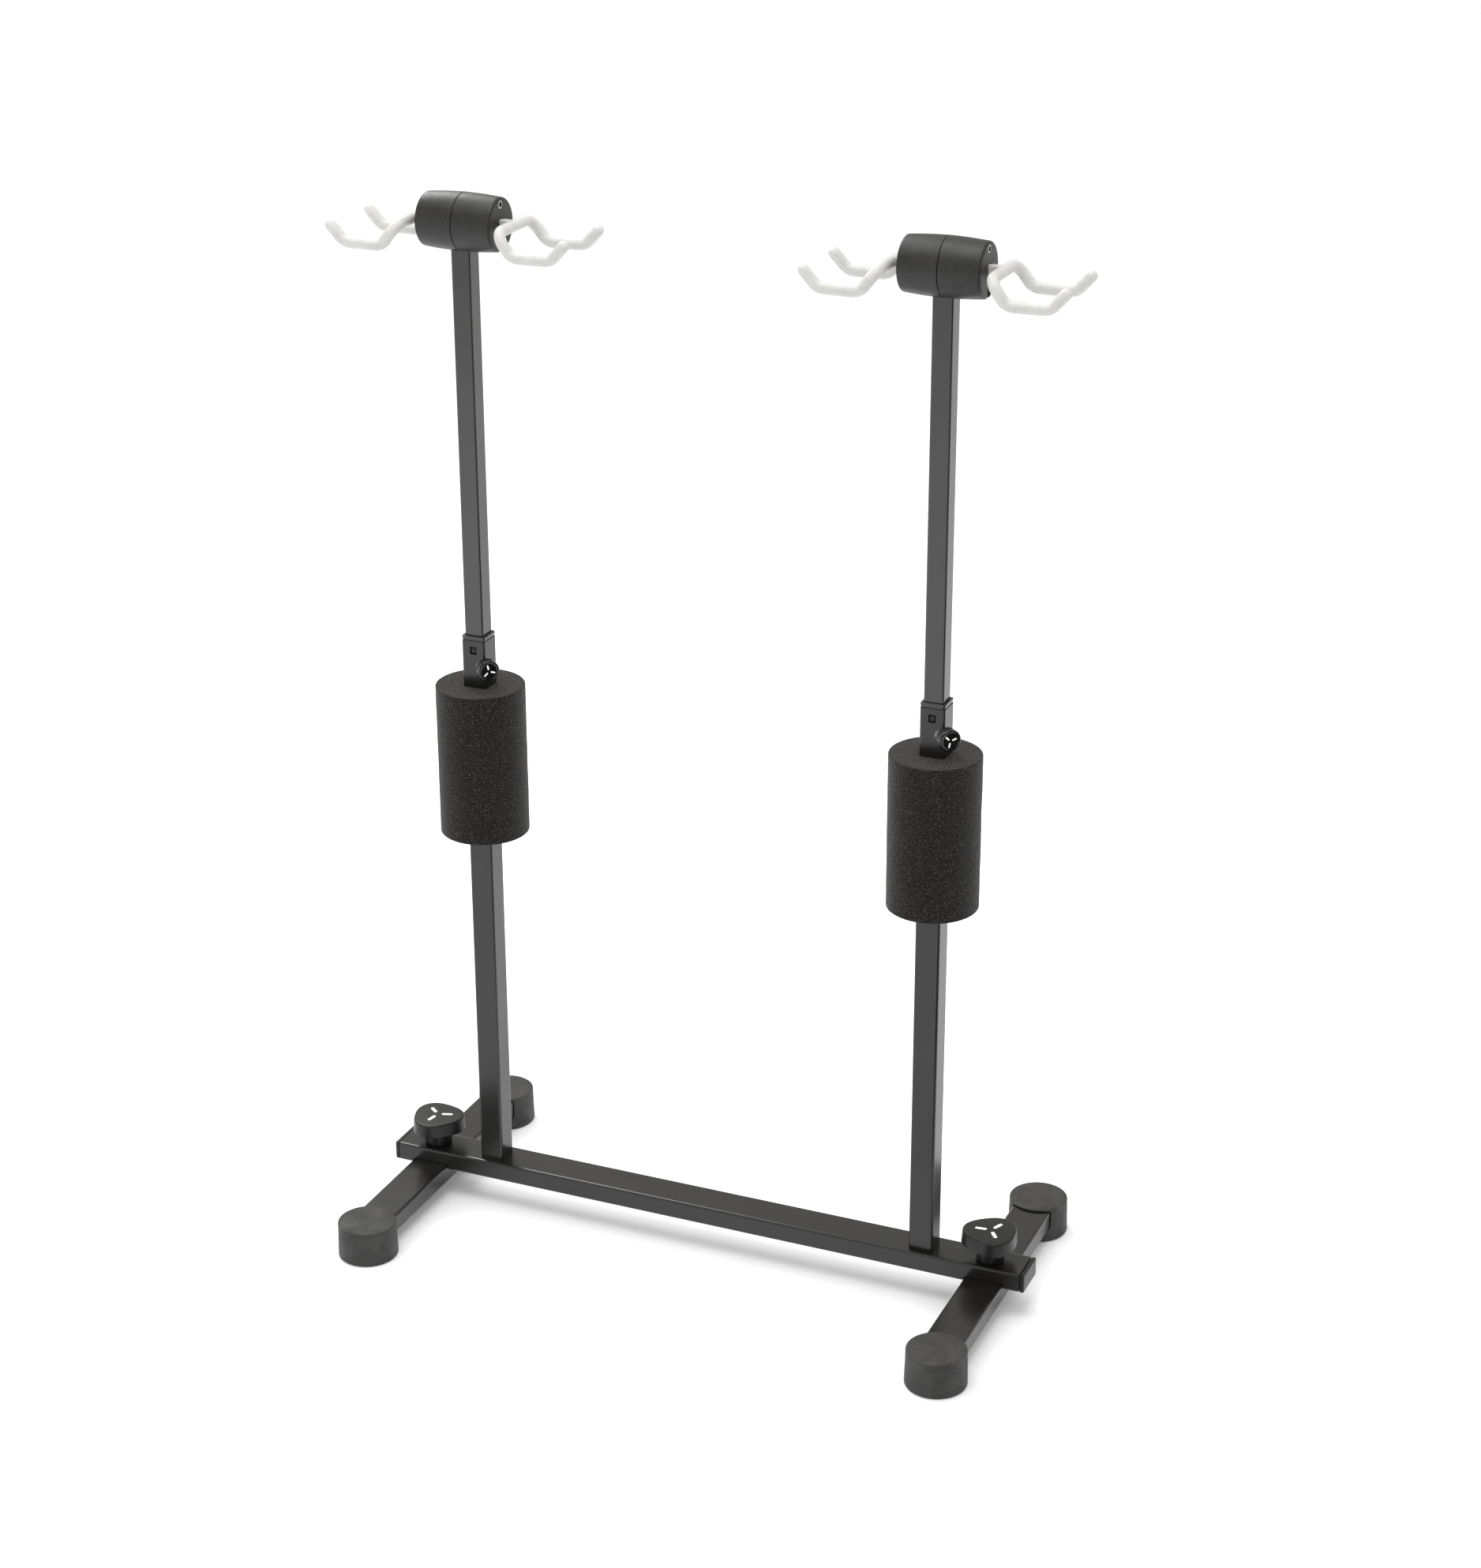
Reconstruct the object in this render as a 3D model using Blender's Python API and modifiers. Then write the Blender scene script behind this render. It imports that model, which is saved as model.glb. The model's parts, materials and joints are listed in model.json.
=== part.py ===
"""Four-place guitar rack: two telescopic posts on a crossbeam with clamped legs.

Run in Blender 4.5: blender --background --python part.py
Metres, +Z up, floor at Z = 0. X runs along the crossbeam, +Y points to the back.
"""

import math

import bpy
import bmesh
from mathutils import Matrix, Vector

# Clearance between touching pieces
GAP = 0.0003

# Crossbeam and its end caps
BEAM_LENGTH = 0.6928
BEAM_DEPTH = 0.040
BEAM_HEIGHT = 0.020
BEAM_TOP = 0.050
BEAM_WALL = 0.0015
BEAM_CORNER = 0.0025
CAP_THICKNESS = 0.005
CAP_PLUG = 0.014
CAP_SETBACK = 0.0006
CAP_EDGE = 0.0014
NOTCH_GAP = 0.0004

# Legs, feet and the screw joint that clamps each leg under the beam
LEG_X = 0.3096
LEG_LENGTH = 0.330
LEG_WIDTH = 0.040
LEG_HEIGHT = 0.020
LEG_TOP = 0.035
FOOT_Y = 0.157
FOOT_RADIUS = 0.0307
FOOT_HEIGHT = 0.038
FOOT_CROWN_RADIUS = 0.020
FOOT_CROWN = 0.0003
FOOT_EDGE = 0.005
FOOT_EDGE_DROP = 0.006
FOOT_SOLE = 0.003
FOOT_SLOT_GAP = 0.0007
INSERT_RADIUS = 0.0055
INSERT_BOTTOM = 0.022
INSERT_FLANGE_RADIUS = 0.0068
INSERT_FLANGE_HEIGHT = 0.001
BOLT_RADIUS = 0.004
BOLT_BOTTOM = 0.020
BOLT_HOLE_GAP = 0.0005
BOLT_HEAD_RADIUS = 0.0075
BOLT_HEAD_HEIGHT = 0.0055
BOLT_HEAD_INSET = 0.001
BOLT_OVERLAP = 0.001
KNOB_SIDES = 27
KNOB_EDGE = 0.0014
KNOB_BOTTOM = 0.067
KNOB_TOP = 0.0824
KNOB_RADIUS = 0.0276
KNOB_LOBE = 0.0019
KNOB_TURN = {"left": math.radians(20), "right": math.radians(66)}
HUB_RADIUS = 0.0142

# Posts
POST_X = 0.240
OUTER_SIDE = 0.025
OUTER_WALL = 0.0012
OUTER_TOP = 0.6295
INNER_SIDE = 0.020
INNER_WALL = 0.0015
INNER_BOTTOM = 0.4795
TUBE_CORNER = 0.002
WINDOW_WIDTH = 0.007
WINDOW_BOTTOM = 0.6157
WINDOW_TOP = 0.6234
BUSH_BOTTOM = 0.560
BUSH_FLANGE = 0.0048
BUSH_EDGE = 0.0013
BUSH_OVERLAP = 0.002
TAB_SETBACK = 0.0004
FOAM_RADIUS = 0.045
FOAM_BOTTOM = 0.4243
FOAM_TOP = 0.5807

# Thumb screw on the front corner of each post, measured from the post's centre line
SCREW_Z = 0.604
STUD_RADIUS = 0.004
STUD_TIP = 0.0137
STUD_HOLE_START = 0.011
STUD_HOLE_END = 0.030
BOSS_START = 0.0125
BOSS_FACE = 0.0200
BOSS_RADIUS = 0.0078
THUMB_FACE = 0.0313
THUMB_RADIUS = 0.011
THUMB_EDGE = 0.0008
THUMB_DISH_RADIUS = 0.0085
THUMB_DISH_EDGE = 0.0005
THUMB_DISH = 0.0004
THUMB_SKIN = 0.003

# Head barrel, its axis along X, with the two neck forks
HEAD_Z = 1.0433
HEAD_HALF = 0.0395
HEAD_SEAM_RADIUS = 0.0277
HEAD_END_RADIUS = 0.0258
HEAD_WALL = 0.0028
HEAD_END_WALL = 0.0045
HEAD_EDGE = 0.0025
HEAD_BULGE = 0.0003
SEAM_HALF_GAP = 0.00015
SEAM_CHAMFER_HEIGHT = 0.0012
SEAM_CHAMFER = 0.0003
TUBE_TO_HEAD = 0.018
SLOT_HALF = 0.004
SLOT_TOP = 0.0065
TIE_HEIGHT = 0.019
TIE_HEAD_RADIUS = 0.0045
TIE_HEAD_SETBACK = 0.0004
TIE_HOLE_RADIUS = 0.0035
TIE_SCREW_RADIUS = 0.0019
TIE_SCREW_REACH = 0.030
TIE_NUT_RADIUS = 0.0032
TIE_NUT_BORE = 0.0022
TIE_NUT_STEP = 0.012
TIE_NUT_END = 0.034
RECESS_RADIUS = 0.0048
RECESS_DEPTH = 0.0022
PIVOT_OUT = 0.030
PIVOT_DROP = 0.012
PIN_RADIUS = 0.0025
PIN_LENGTH = 0.0146
EYE_RADIUS = 0.0048

# Bracket in the barrel
BRACKET_HALF = 0.011
BRACKET_PLATE = 0.0028
BRACKET_PLUG = 0.018
BRACKET_PLUG_TRIM = 0.002
CHEEK_IN = 0.0046
CHEEK_OUT = 0.0072
CHEEK_TOP_DROP = 0.006
CHEEK_END_GAP = 0.0006

# Glide on the inner tube's lower end
GLIDE_PLAY = 0.001
GLIDE_HEIGHT = 0.005
GLIDE_EDGE = 0.001
GLIDE_PLUG = 0.015

# Neck fork, measured from the barrel's centre: distance out along X, and height
YOKE_OUT = 0.052
FORK_HALF_GAP = 0.0373
FORK_LOW = (0.0682, -0.021)
FORK_FAR = (0.1079, -0.0208)
FORK_TIP = (0.1216, -0.0059)
FORK_BEND = 0.014
WIRE_RADIUS = 0.003
WIRE_END_GAP = 0.001
SLEEVE_RADIUS = 0.0055
TONGUE_HALF = 0.003
TONGUE_THICKNESS = 0.005
TONGUE_ROOM = 0.0033
TONGUE_ROOM_HALF = 0.0028
ROOT_START = 0.037
ROOT_HALF = 0.0035
ROOT_BOTTOM = -0.005
ROOT_TOP = 0.0058
ROOT_EDGE = 0.0006

# Corner radius inside thin tubes, the ends of domed rods, and the reach of cutters past a face
LEAST_CORNER = 0.0006
DOME_TIP = 0.08
DOME_STEPS = 3
FORK_STEPS = 3
OVERCUT = 0.01

SIDES = (("left", -1), ("right", 1))
ENDS = (("front", -1), ("rear", 1))

MATERIALS = {
    "powder_coated_steel": ((0.035, 0.034, 0.034), 0.42, 0.0),
    "inner_tube_black": ((0.045, 0.044, 0.043), 0.35, 0.0),
    "black_plastic": ((0.035, 0.034, 0.033), 0.5, 0.0),
    "head_plastic": ((0.05, 0.048, 0.046), 0.55, 0.0),
    "foot_rubber": ((0.045, 0.045, 0.046), 0.75, 0.0),
    "foam": ((0.030, 0.028, 0.027), 0.95, 0.0),
    "zinc_steel": ((0.62, 0.62, 0.60), 0.35, 1.0),
    "milky_plastic": ((0.84, 0.84, 0.80), 0.4, 0.0),
}


def clear_scene():
    for obj in list(bpy.data.objects):
        bpy.data.objects.remove(obj, do_unlink=True)


def make_collection(name):
    made = bpy.data.collections.new(name)
    bpy.context.scene.collection.children.link(made)
    return made


def make_materials():
    for name, (colour, roughness, metallic) in MATERIALS.items():
        made = bpy.data.materials.new(name)
        made.use_nodes = True
        shader = made.node_tree.nodes["Principled BSDF"]
        shader.inputs["Base Color"].default_value = (*colour, 1.0)
        shader.inputs["Roughness"].default_value = roughness
        shader.inputs["Metallic"].default_value = metallic
        made.diffuse_color = (*colour, 1.0)


def as_cutter(obj):
    """Moves a helper shape out of the part and hides it from the render."""
    for owner in list(obj.users_collection):
        owner.objects.unlink(obj)
    cutters.objects.link(obj)
    obj.hide_render = True
    obj.display_type = "WIRE"
    return obj


def finish(obj, material):
    obj.data.materials.clear()
    obj.data.materials.append(bpy.data.materials[material])
    return obj


def mesh_object(name, shape, location=(0, 0, 0)):
    data = bpy.data.meshes.new(name)
    shape.to_mesh(data)
    shape.free()
    obj = bpy.data.objects.new(name, data)
    obj.location = location
    parts.objects.link(obj)
    return obj


def box(name, size, centre):
    shape = bmesh.new()
    bmesh.ops.create_cube(shape, size=1.0)
    bmesh.ops.scale(shape, vec=size, verts=shape.verts)
    return mesh_object(name, shape, centre)


def span_box(name, x_span, y_span, z_span):
    """A box given by its limits along X, Y and Z."""
    spans = (x_span, y_span, z_span)
    size = [high - low for low, high in spans]
    centre = [(high + low) / 2 for low, high in spans]
    return box(name, size, centre)


def cylinder(name, radius, length, centre, axis=(0, 0, 1), sides=16):
    shape = bmesh.new()
    bmesh.ops.create_cone(
        shape, cap_ends=True, segments=sides, radius1=radius, radius2=radius, depth=length
    )
    obj = mesh_object(name, shape, centre)
    obj.rotation_euler = Vector(axis).to_track_quat("Z", "Y").to_euler()
    return obj


def turned(name, profile, centre, axis=(0, 0, 1), closed=False, steps=24):
    """A body of revolution; the profile holds (radius, height) from the top, down the outer side."""
    data = bpy.data.meshes.new(name)
    count = len(profile)
    edges = [(i, i + 1) for i in range(count - 1)]
    if closed:
        edges.append((count - 1, 0))
    data.from_pydata([(radius, 0, height) for radius, height in profile], edges, [])
    obj = bpy.data.objects.new(name, data)
    parts.objects.link(obj)
    obj.location = centre
    obj.rotation_euler = Vector(axis).to_track_quat("Z", "Y").to_euler()
    screw = obj.modifiers.new("Turn", "SCREW")
    screw.axis = "Z"
    screw.steps = steps
    screw.render_steps = steps
    screw.use_merge_vertices = True
    screw.merge_threshold = 0.00001
    screw.use_smooth_shade = False
    return obj


def bevel_edges(obj, width, segments=2, angle=40):
    bevel = obj.modifiers.new("Edges", "BEVEL")
    bevel.width = width
    bevel.segments = segments
    bevel.limit_method = "ANGLE"
    bevel.angle_limit = math.radians(angle)
    return obj


def combine(obj, other, operation):
    boolean = obj.modifiers.new(operation.title(), "BOOLEAN")
    boolean.operation = operation
    boolean.solver = "EXACT"
    boolean.object = as_cutter(other)
    return obj


def cut(obj, *cutting):
    for cutter in cutting:
        combine(obj, cutter, "DIFFERENCE")
    return obj


def join(obj, *added):
    for other in added:
        combine(obj, other, "UNION")
    return obj


def arc(centre, radius, start, end, steps):
    """Points on an arc, angles in degrees."""
    angles = [math.radians(start + (end - start) * i / steps) for i in range(steps + 1)]
    return [(centre[0] + radius * math.cos(a), centre[1] + radius * math.sin(a)) for a in angles]


def rounded_rectangle(width, height, radius, steps=3):
    x = width / 2 - radius
    y = height / 2 - radius
    points = []
    for centre, start in (((x, y), 0), ((-x, y), 90), ((-x, -y), 180), ((x, -y), 270)):
        points += arc(centre, radius, start, start + 90, steps)
    return points


def circle(radius, steps, centre=(0, 0)):
    return arc(centre, radius, 0, 360 - 360 / steps, steps - 1)


def to_mesh(obj):
    """Replaces a curve object with its mesh, welded and in world space."""
    bpy.context.view_layer.update()
    graph = bpy.context.evaluated_depsgraph_get()
    data = bpy.data.meshes.new_from_object(obj.evaluated_get(graph))
    shape = bmesh.new()
    shape.from_mesh(data)
    bmesh.ops.remove_doubles(shape, verts=shape.verts, dist=0.000002)
    bmesh.ops.recalc_face_normals(shape, faces=shape.faces)
    shape.to_mesh(data)
    shape.free()
    name = obj.name
    place = obj.matrix_world.copy()
    bpy.data.objects.remove(obj, do_unlink=True)
    made = bpy.data.objects.new(name, data)
    made.matrix_world = place
    parts.objects.link(made)
    return made


def extruded(name, outlines, length, centre, rotation=(0, 0, 0), edge=0.0):
    """A flat outline, with any holes, made length thick along its own Z."""
    data = bpy.data.curves.new(name, "CURVE")
    data.dimensions = "2D"
    data.fill_mode = "BOTH"
    data.extrude = length / 2 - edge
    data.bevel_depth = edge
    data.bevel_resolution = 1
    data.offset = -edge
    for outline in outlines:
        spline = data.splines.new("POLY")
        spline.points.add(len(outline) - 1)
        for point, (x, y) in zip(spline.points, outline):
            point.co = (x, y, 0, 1)
        spline.use_cyclic_u = True
    obj = bpy.data.objects.new(name, data)
    parts.objects.link(obj)
    obj.location = centre
    obj.rotation_euler = rotation
    return to_mesh(obj)


def rod(name, path, radius, resolution, widths=None):
    """A round rod along a path of points; widths scales the radius at each point."""
    data = bpy.data.curves.new(name, "CURVE")
    data.dimensions = "3D"
    data.bevel_depth = radius
    data.bevel_resolution = resolution
    data.use_fill_caps = True
    spline = data.splines.new("POLY")
    spline.points.add(len(path) - 1)
    for index, (point, place) in enumerate(zip(spline.points, path)):
        point.co = (*place, 1)
        point.radius = widths[index] if widths else 1.0
    obj = bpy.data.objects.new(name, data)
    parts.objects.link(obj)
    return to_mesh(obj)


def joint_empty(name, location):
    obj = bpy.data.objects.new(name, None)
    obj.location = location
    obj.empty_display_size = 0.02
    parts.objects.link(obj)
    return obj


def hang(parent, *pieces):
    """Parents pieces to an unturned empty and keeps them in place."""
    for piece in pieces:
        piece.parent = parent
        piece.location = piece.location - parent.location


def square_tube(name, width, height, wall, corner, length, centre, rotation=(0, 0, 0)):
    inner_corner = max(corner - wall, LEAST_CORNER)
    outlines = (
        rounded_rectangle(width, height, corner),
        rounded_rectangle(width - 2 * wall, height - 2 * wall, inner_corner, 1),
    )
    return extruded(name, outlines, length, centre, rotation)


def build_crossbeam():
    beam = square_tube(
        "crossbeam_tube", BEAM_HEIGHT, BEAM_DEPTH, BEAM_WALL, BEAM_CORNER, BEAM_LENGTH,
        (0, 0, BEAM_TOP - BEAM_HEIGHT / 2), (0, math.pi / 2, 0),
    )
    bottom = BEAM_TOP - BEAM_HEIGHT
    for side, sign in SIDES:
        notch_half = LEG_WIDTH / 2 + NOTCH_GAP
        notch = span_box(
            f"notch_cutter_{side}",
            (sign * LEG_X - notch_half, sign * LEG_X + notch_half),
            (-BEAM_DEPTH, BEAM_DEPTH),
            (bottom - OVERCUT, LEG_TOP + NOTCH_GAP),
        )
        hole = cylinder(
            f"bolt_hole_cutter_{side}", BOLT_RADIUS + BOLT_HOLE_GAP, OVERCUT, (sign * LEG_X, 0, BEAM_TOP)
        )
        cut(beam, notch, hole)
    finish(beam, "powder_coated_steel")


def build_end_cap(side, sign):
    inner = BEAM_LENGTH / 2 + GAP
    middle = BEAM_TOP - BEAM_HEIGHT / 2
    cap = box(
        f"beam_end_cap_{side}",
        (CAP_THICKNESS, BEAM_DEPTH - CAP_SETBACK, BEAM_HEIGHT - CAP_SETBACK),
        (sign * (inner + CAP_THICKNESS / 2), 0, middle),
    )
    bevel_edges(cap, CAP_EDGE)
    plug_room = 2 * (BEAM_WALL + GAP)
    plug = box(
        f"cap_plug_{side}",
        (CAP_PLUG, BEAM_DEPTH - plug_room, BEAM_HEIGHT - plug_room),
        (sign * (inner + 0.001 - CAP_PLUG / 2), 0, middle),
    )
    bevel_edges(plug, 0.0011, 1)
    pocket = box(
        f"cap_pocket_{side}",
        (CAP_PLUG, BEAM_DEPTH - plug_room - 0.004, BEAM_HEIGHT - plug_room - 0.004),
        (sign * (inner - CAP_PLUG / 2), 0, middle),
    )
    join(cap, plug)
    cut(cap, pocket)
    finish(cap, "black_plastic")


def build_foot(name, x, y, end):
    """A rubber foot with a socket for the leg, open towards the beam."""
    profile = [(0, FOOT_HEIGHT), (FOOT_CROWN_RADIUS, FOOT_HEIGHT - FOOT_CROWN)]
    profile += [
        (FOOT_RADIUS - FOOT_EDGE + radius, FOOT_HEIGHT - FOOT_EDGE_DROP + height)
        for radius, height in arc((0, 0), FOOT_EDGE, 80, 0, 3)
    ]
    profile += [
        (FOOT_RADIUS, FOOT_SOLE), (FOOT_RADIUS - 0.0012, 0.0008), (FOOT_RADIUS - FOOT_SOLE, 0)
    ]
    profile += [(0, 0)]
    foot = turned(name, profile, (x, y, 0))
    slot_end = LEG_LENGTH / 2 + GAP
    slot_mouth = FOOT_Y - FOOT_RADIUS - OVERCUT
    outline = rounded_rectangle(
        LEG_WIDTH + 2 * FOOT_SLOT_GAP, LEG_HEIGHT + 2 * FOOT_SLOT_GAP, BEAM_CORNER, 2
    )
    socket = extruded(
        f"{name}_socket", (outline,), slot_end - slot_mouth,
        (x, end * (slot_end + slot_mouth) / 2, LEG_TOP - LEG_HEIGHT / 2), (math.pi / 2, 0, 0),
    )
    cut(foot, socket)
    return finish(foot, "foot_rubber")


def build_leg(side, sign):
    x = sign * LEG_X
    leg = square_tube(
        f"leg_tube_{side}", LEG_WIDTH, LEG_HEIGHT, BEAM_WALL, BEAM_CORNER, LEG_LENGTH,
        (x, 0, LEG_TOP - LEG_HEIGHT / 2), (math.pi / 2, 0, 0),
    )
    cut(leg, cylinder(f"insert_hole_{side}", INSERT_RADIUS + GAP, OVERCUT, (x, 0, LEG_TOP)))
    finish(leg, "powder_coated_steel")
    bore = BOLT_RADIUS + GAP
    flange_bottom = LEG_TOP + 0.0002
    flange_top = flange_bottom + INSERT_FLANGE_HEIGHT
    profile = [
        (bore, flange_top), (INSERT_FLANGE_RADIUS, flange_top), (INSERT_FLANGE_RADIUS, flange_bottom),
        (INSERT_RADIUS, flange_bottom), (INSERT_RADIUS, INSERT_BOTTOM), (bore, INSERT_BOTTOM),
    ]
    insert = turned(f"leg_insert_nut_{side}", profile, (x, 0, 0), closed=True, steps=16)
    finish(insert, "zinc_steel")
    feet = [
        build_foot(f"foot_{end_name}_{side}", x, end * FOOT_Y, end) for end_name, end in ENDS
    ]
    hang(joint_empty(f"leg_drop_axis_{side}", (x, 0, LEG_TOP)), leg, insert, *feet)


def build_leg_knob(side, sign):
    """The three-lobed clamp knob and the bolt moulded into it."""
    x = sign * LEG_X
    outline = []
    for index in range(KNOB_SIDES):
        angle = 2 * math.pi * index / KNOB_SIDES
        radius = KNOB_RADIUS + KNOB_LOBE * math.cos(3 * (angle - KNOB_TURN[side]))
        outline.append((radius * math.cos(angle), radius * math.sin(angle)))
    knob = extruded(
        f"leg_clamp_knob_{side}", (outline,), KNOB_TOP - KNOB_BOTTOM,
        (x, 0, (KNOB_TOP + KNOB_BOTTOM) / 2), edge=KNOB_EDGE,
    )
    hub_bottom = BEAM_TOP + GAP
    hub_top = KNOB_BOTTOM + 0.003
    hub_edge = 0.001
    hub_profile = [
        (0, hub_top), (HUB_RADIUS, hub_top), (HUB_RADIUS, hub_bottom + hub_edge),
        (HUB_RADIUS - hub_edge, hub_bottom), (0, hub_bottom),
    ]
    hub = turned(f"knob_hub_{side}", hub_profile, (x, 0, 0), steps=20)
    head_low = KNOB_BOTTOM + BOLT_HEAD_INSET
    head_high = head_low + BOLT_HEAD_HEIGHT
    bore_top = head_low + BOLT_OVERLAP
    bore_bottom = BEAM_TOP - OVERCUT
    bore = cylinder(
        f"knob_bore_{side}", BOLT_RADIUS + GAP, bore_top - bore_bottom,
        (x, 0, (bore_top + bore_bottom) / 2),
    )
    pocket = cylinder(
        f"knob_pocket_{side}", BOLT_HEAD_RADIUS + GAP, head_high - head_low + 2 * GAP,
        (x, 0, (head_high + head_low) / 2), sides=6,
    )
    join(knob, hub)
    cut(knob, bore, pocket)
    finish(knob, "black_plastic")
    bolt = cylinder(
        f"leg_clamp_bolt_{side}", BOLT_RADIUS, bore_top - BOLT_BOTTOM,
        (x, 0, (bore_top + BOLT_BOTTOM) / 2), sides=16,
    )
    head = cylinder(
        f"bolt_head_{side}", BOLT_HEAD_RADIUS, head_high - head_low, (x, 0, (head_high + head_low) / 2),
        sides=6,
    )
    join(bolt, head)
    finish(bolt, "zinc_steel")
    hang(joint_empty(f"leg_knob_axis_{side}", (x, 0, BEAM_TOP)), knob, bolt)


def diagonal(x, distance, z):
    """A point out from a post's centre line, over its front right corner."""
    step = distance / math.sqrt(2)
    return (x + step, -step, z)


DIAGONAL = (1, -1, 0)


def stud_cutter(name, x):
    return cylinder(
        name, STUD_RADIUS + GAP, STUD_HOLE_END - STUD_HOLE_START,
        diagonal(x, (STUD_HOLE_START + STUD_HOLE_END) / 2, SCREW_Z), DIAGONAL, sides=16,
    )


def build_outer_tube(side, x):
    bottom = BEAM_TOP + 0.0002
    tube = square_tube(
        f"post_outer_tube_{side}", OUTER_SIDE, OUTER_SIDE, OUTER_WALL, TUBE_CORNER,
        OUTER_TOP - bottom, (x, 0, (OUTER_TOP + bottom) / 2),
    )
    window = span_box(
        f"window_cutter_{side}",
        (x - WINDOW_WIDTH / 2, x + WINDOW_WIDTH / 2),
        (-OUTER_SIDE, -OUTER_SIDE / 2 + 0.005),
        (WINDOW_BOTTOM, WINDOW_TOP),
    )
    cut(tube, window, stud_cutter(f"tube_stud_hole_{side}", x))
    finish(tube, "powder_coated_steel")


def build_bush(side, x):
    """The guide bush: a flange on the tube's end, a skirt inside it and a snap tab in the window."""
    flange_bottom = OUTER_TOP + GAP
    flange = box(
        f"post_bush_{side}", (OUTER_SIDE, OUTER_SIDE, BUSH_FLANGE),
        (x, 0, flange_bottom + BUSH_FLANGE / 2),
    )
    bevel_edges(flange, BUSH_EDGE)
    skirt_side = OUTER_SIDE - 2 * (OUTER_WALL + GAP)
    skirt_top = flange_bottom + BUSH_OVERLAP
    skirt = extruded(
        f"bush_skirt_{side}", (rounded_rectangle(skirt_side, skirt_side, BUSH_EDGE, 2),),
        skirt_top - BUSH_BOTTOM, (x, 0, (skirt_top + BUSH_BOTTOM) / 2),
    )
    tab = span_box(
        f"bush_tab_{side}",
        (x - WINDOW_WIDTH / 2 + GAP, x + WINDOW_WIDTH / 2 - GAP),
        (-OUTER_SIDE / 2 + TAB_SETBACK, -skirt_side / 2 + TAB_SETBACK),
        (WINDOW_BOTTOM + GAP, WINDOW_TOP - GAP),
    )
    hole_side = INNER_SIDE + 2 * GAP
    hole_length = skirt_top - BUSH_BOTTOM + 2 * OVERCUT
    hole = extruded(
        f"bush_hole_{side}", (rounded_rectangle(hole_side, hole_side, TUBE_CORNER + GAP),),
        hole_length, (x, 0, (skirt_top + BUSH_BOTTOM) / 2),
    )
    join(flange, skirt, tab)
    cut(flange, hole, stud_cutter(f"bush_stud_hole_{side}", x))
    finish(flange, "black_plastic")


def build_foam_roll(side, x):
    hole = OUTER_SIDE + 2 * GAP
    outlines = (circle(FOAM_RADIUS, 36), rounded_rectangle(hole, hole, TUBE_CORNER, 2))
    roll = extruded(
        f"foam_roll_{side}", outlines, FOAM_TOP - FOAM_BOTTOM,
        (x, 0, (FOAM_TOP + FOAM_BOTTOM) / 2),
    )
    finish(roll, "foam")


def build_thumb_screw(side, x):
    """The threaded boss welded on the post's corner, and the knob with its stud."""
    boss = cylinder(
        f"thumb_screw_boss_{side}", BOSS_RADIUS, BOSS_FACE - BOSS_START,
        diagonal(x, (BOSS_FACE + BOSS_START) / 2, SCREW_Z), DIAGONAL, sides=20,
    )
    saddle_side = OUTER_SIDE + 2 * GAP
    saddle = box(
        f"boss_saddle_{side}", (saddle_side, saddle_side, 0.05), (x, 0, SCREW_Z)
    )
    cut(boss, saddle, stud_cutter(f"boss_bore_{side}", x))
    finish(boss, "zinc_steel")

    depth = THUMB_FACE - BOSS_FACE - GAP
    bore = STUD_RADIUS + GAP
    bore_depth = depth - THUMB_SKIN
    profile = [
        (0, depth - THUMB_DISH), (THUMB_DISH_RADIUS, depth - THUMB_DISH),
        (THUMB_DISH_RADIUS + THUMB_DISH_EDGE, depth), (THUMB_RADIUS - THUMB_EDGE, depth),
        (THUMB_RADIUS, depth - THUMB_EDGE), (THUMB_RADIUS, 0.0010), (THUMB_RADIUS - THUMB_EDGE, 0),
        (bore, 0), (bore, bore_depth), (0, bore_depth),
    ]
    knob = turned(
        f"thumb_screw_knob_{side}", profile, diagonal(x, BOSS_FACE + GAP, SCREW_Z), DIAGONAL,
        steps=24,
    )
    finish(knob, "black_plastic")
    stud_end = BOSS_FACE + bore_depth
    stud = cylinder(
        f"thumb_screw_stud_{side}", STUD_RADIUS, stud_end - STUD_TIP,
        diagonal(x, (stud_end + STUD_TIP) / 2, SCREW_Z), DIAGONAL, sides=16,
    )
    finish(stud, "zinc_steel")
    hang(joint_empty(f"thumb_screw_axis_{side}", (x, 0, SCREW_Z)), knob, stud)


def build_inner_tube(side, x, lift):
    """The telescopic tube, with the glide plug in its lower end."""
    top = HEAD_Z - TUBE_TO_HEAD
    tube = square_tube(
        f"post_inner_tube_{side}", INNER_SIDE, INNER_SIDE, INNER_WALL, TUBE_CORNER,
        top - INNER_BOTTOM, (x, 0, (top + INNER_BOTTOM) / 2),
    )
    finish(tube, "inner_tube_black")
    glide_side = OUTER_SIDE - 2 * OUTER_WALL - GLIDE_PLAY
    glide_top = INNER_BOTTOM - GAP
    glide = box(
        f"tube_glide_{side}", (glide_side, glide_side, GLIDE_HEIGHT),
        (x, 0, glide_top - GLIDE_HEIGHT / 2),
    )
    bevel_edges(glide, GLIDE_EDGE, 1)
    plug_side = INNER_SIDE - 2 * (INNER_WALL + GAP)
    plug_bottom = glide_top - 0.002
    plug = box(
        f"glide_plug_{side}", (plug_side, plug_side, GLIDE_PLUG),
        (x, 0, plug_bottom + GLIDE_PLUG / 2),
    )
    join(glide, plug)
    finish(glide, "black_plastic")
    hang(lift, tube, glide)


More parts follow.
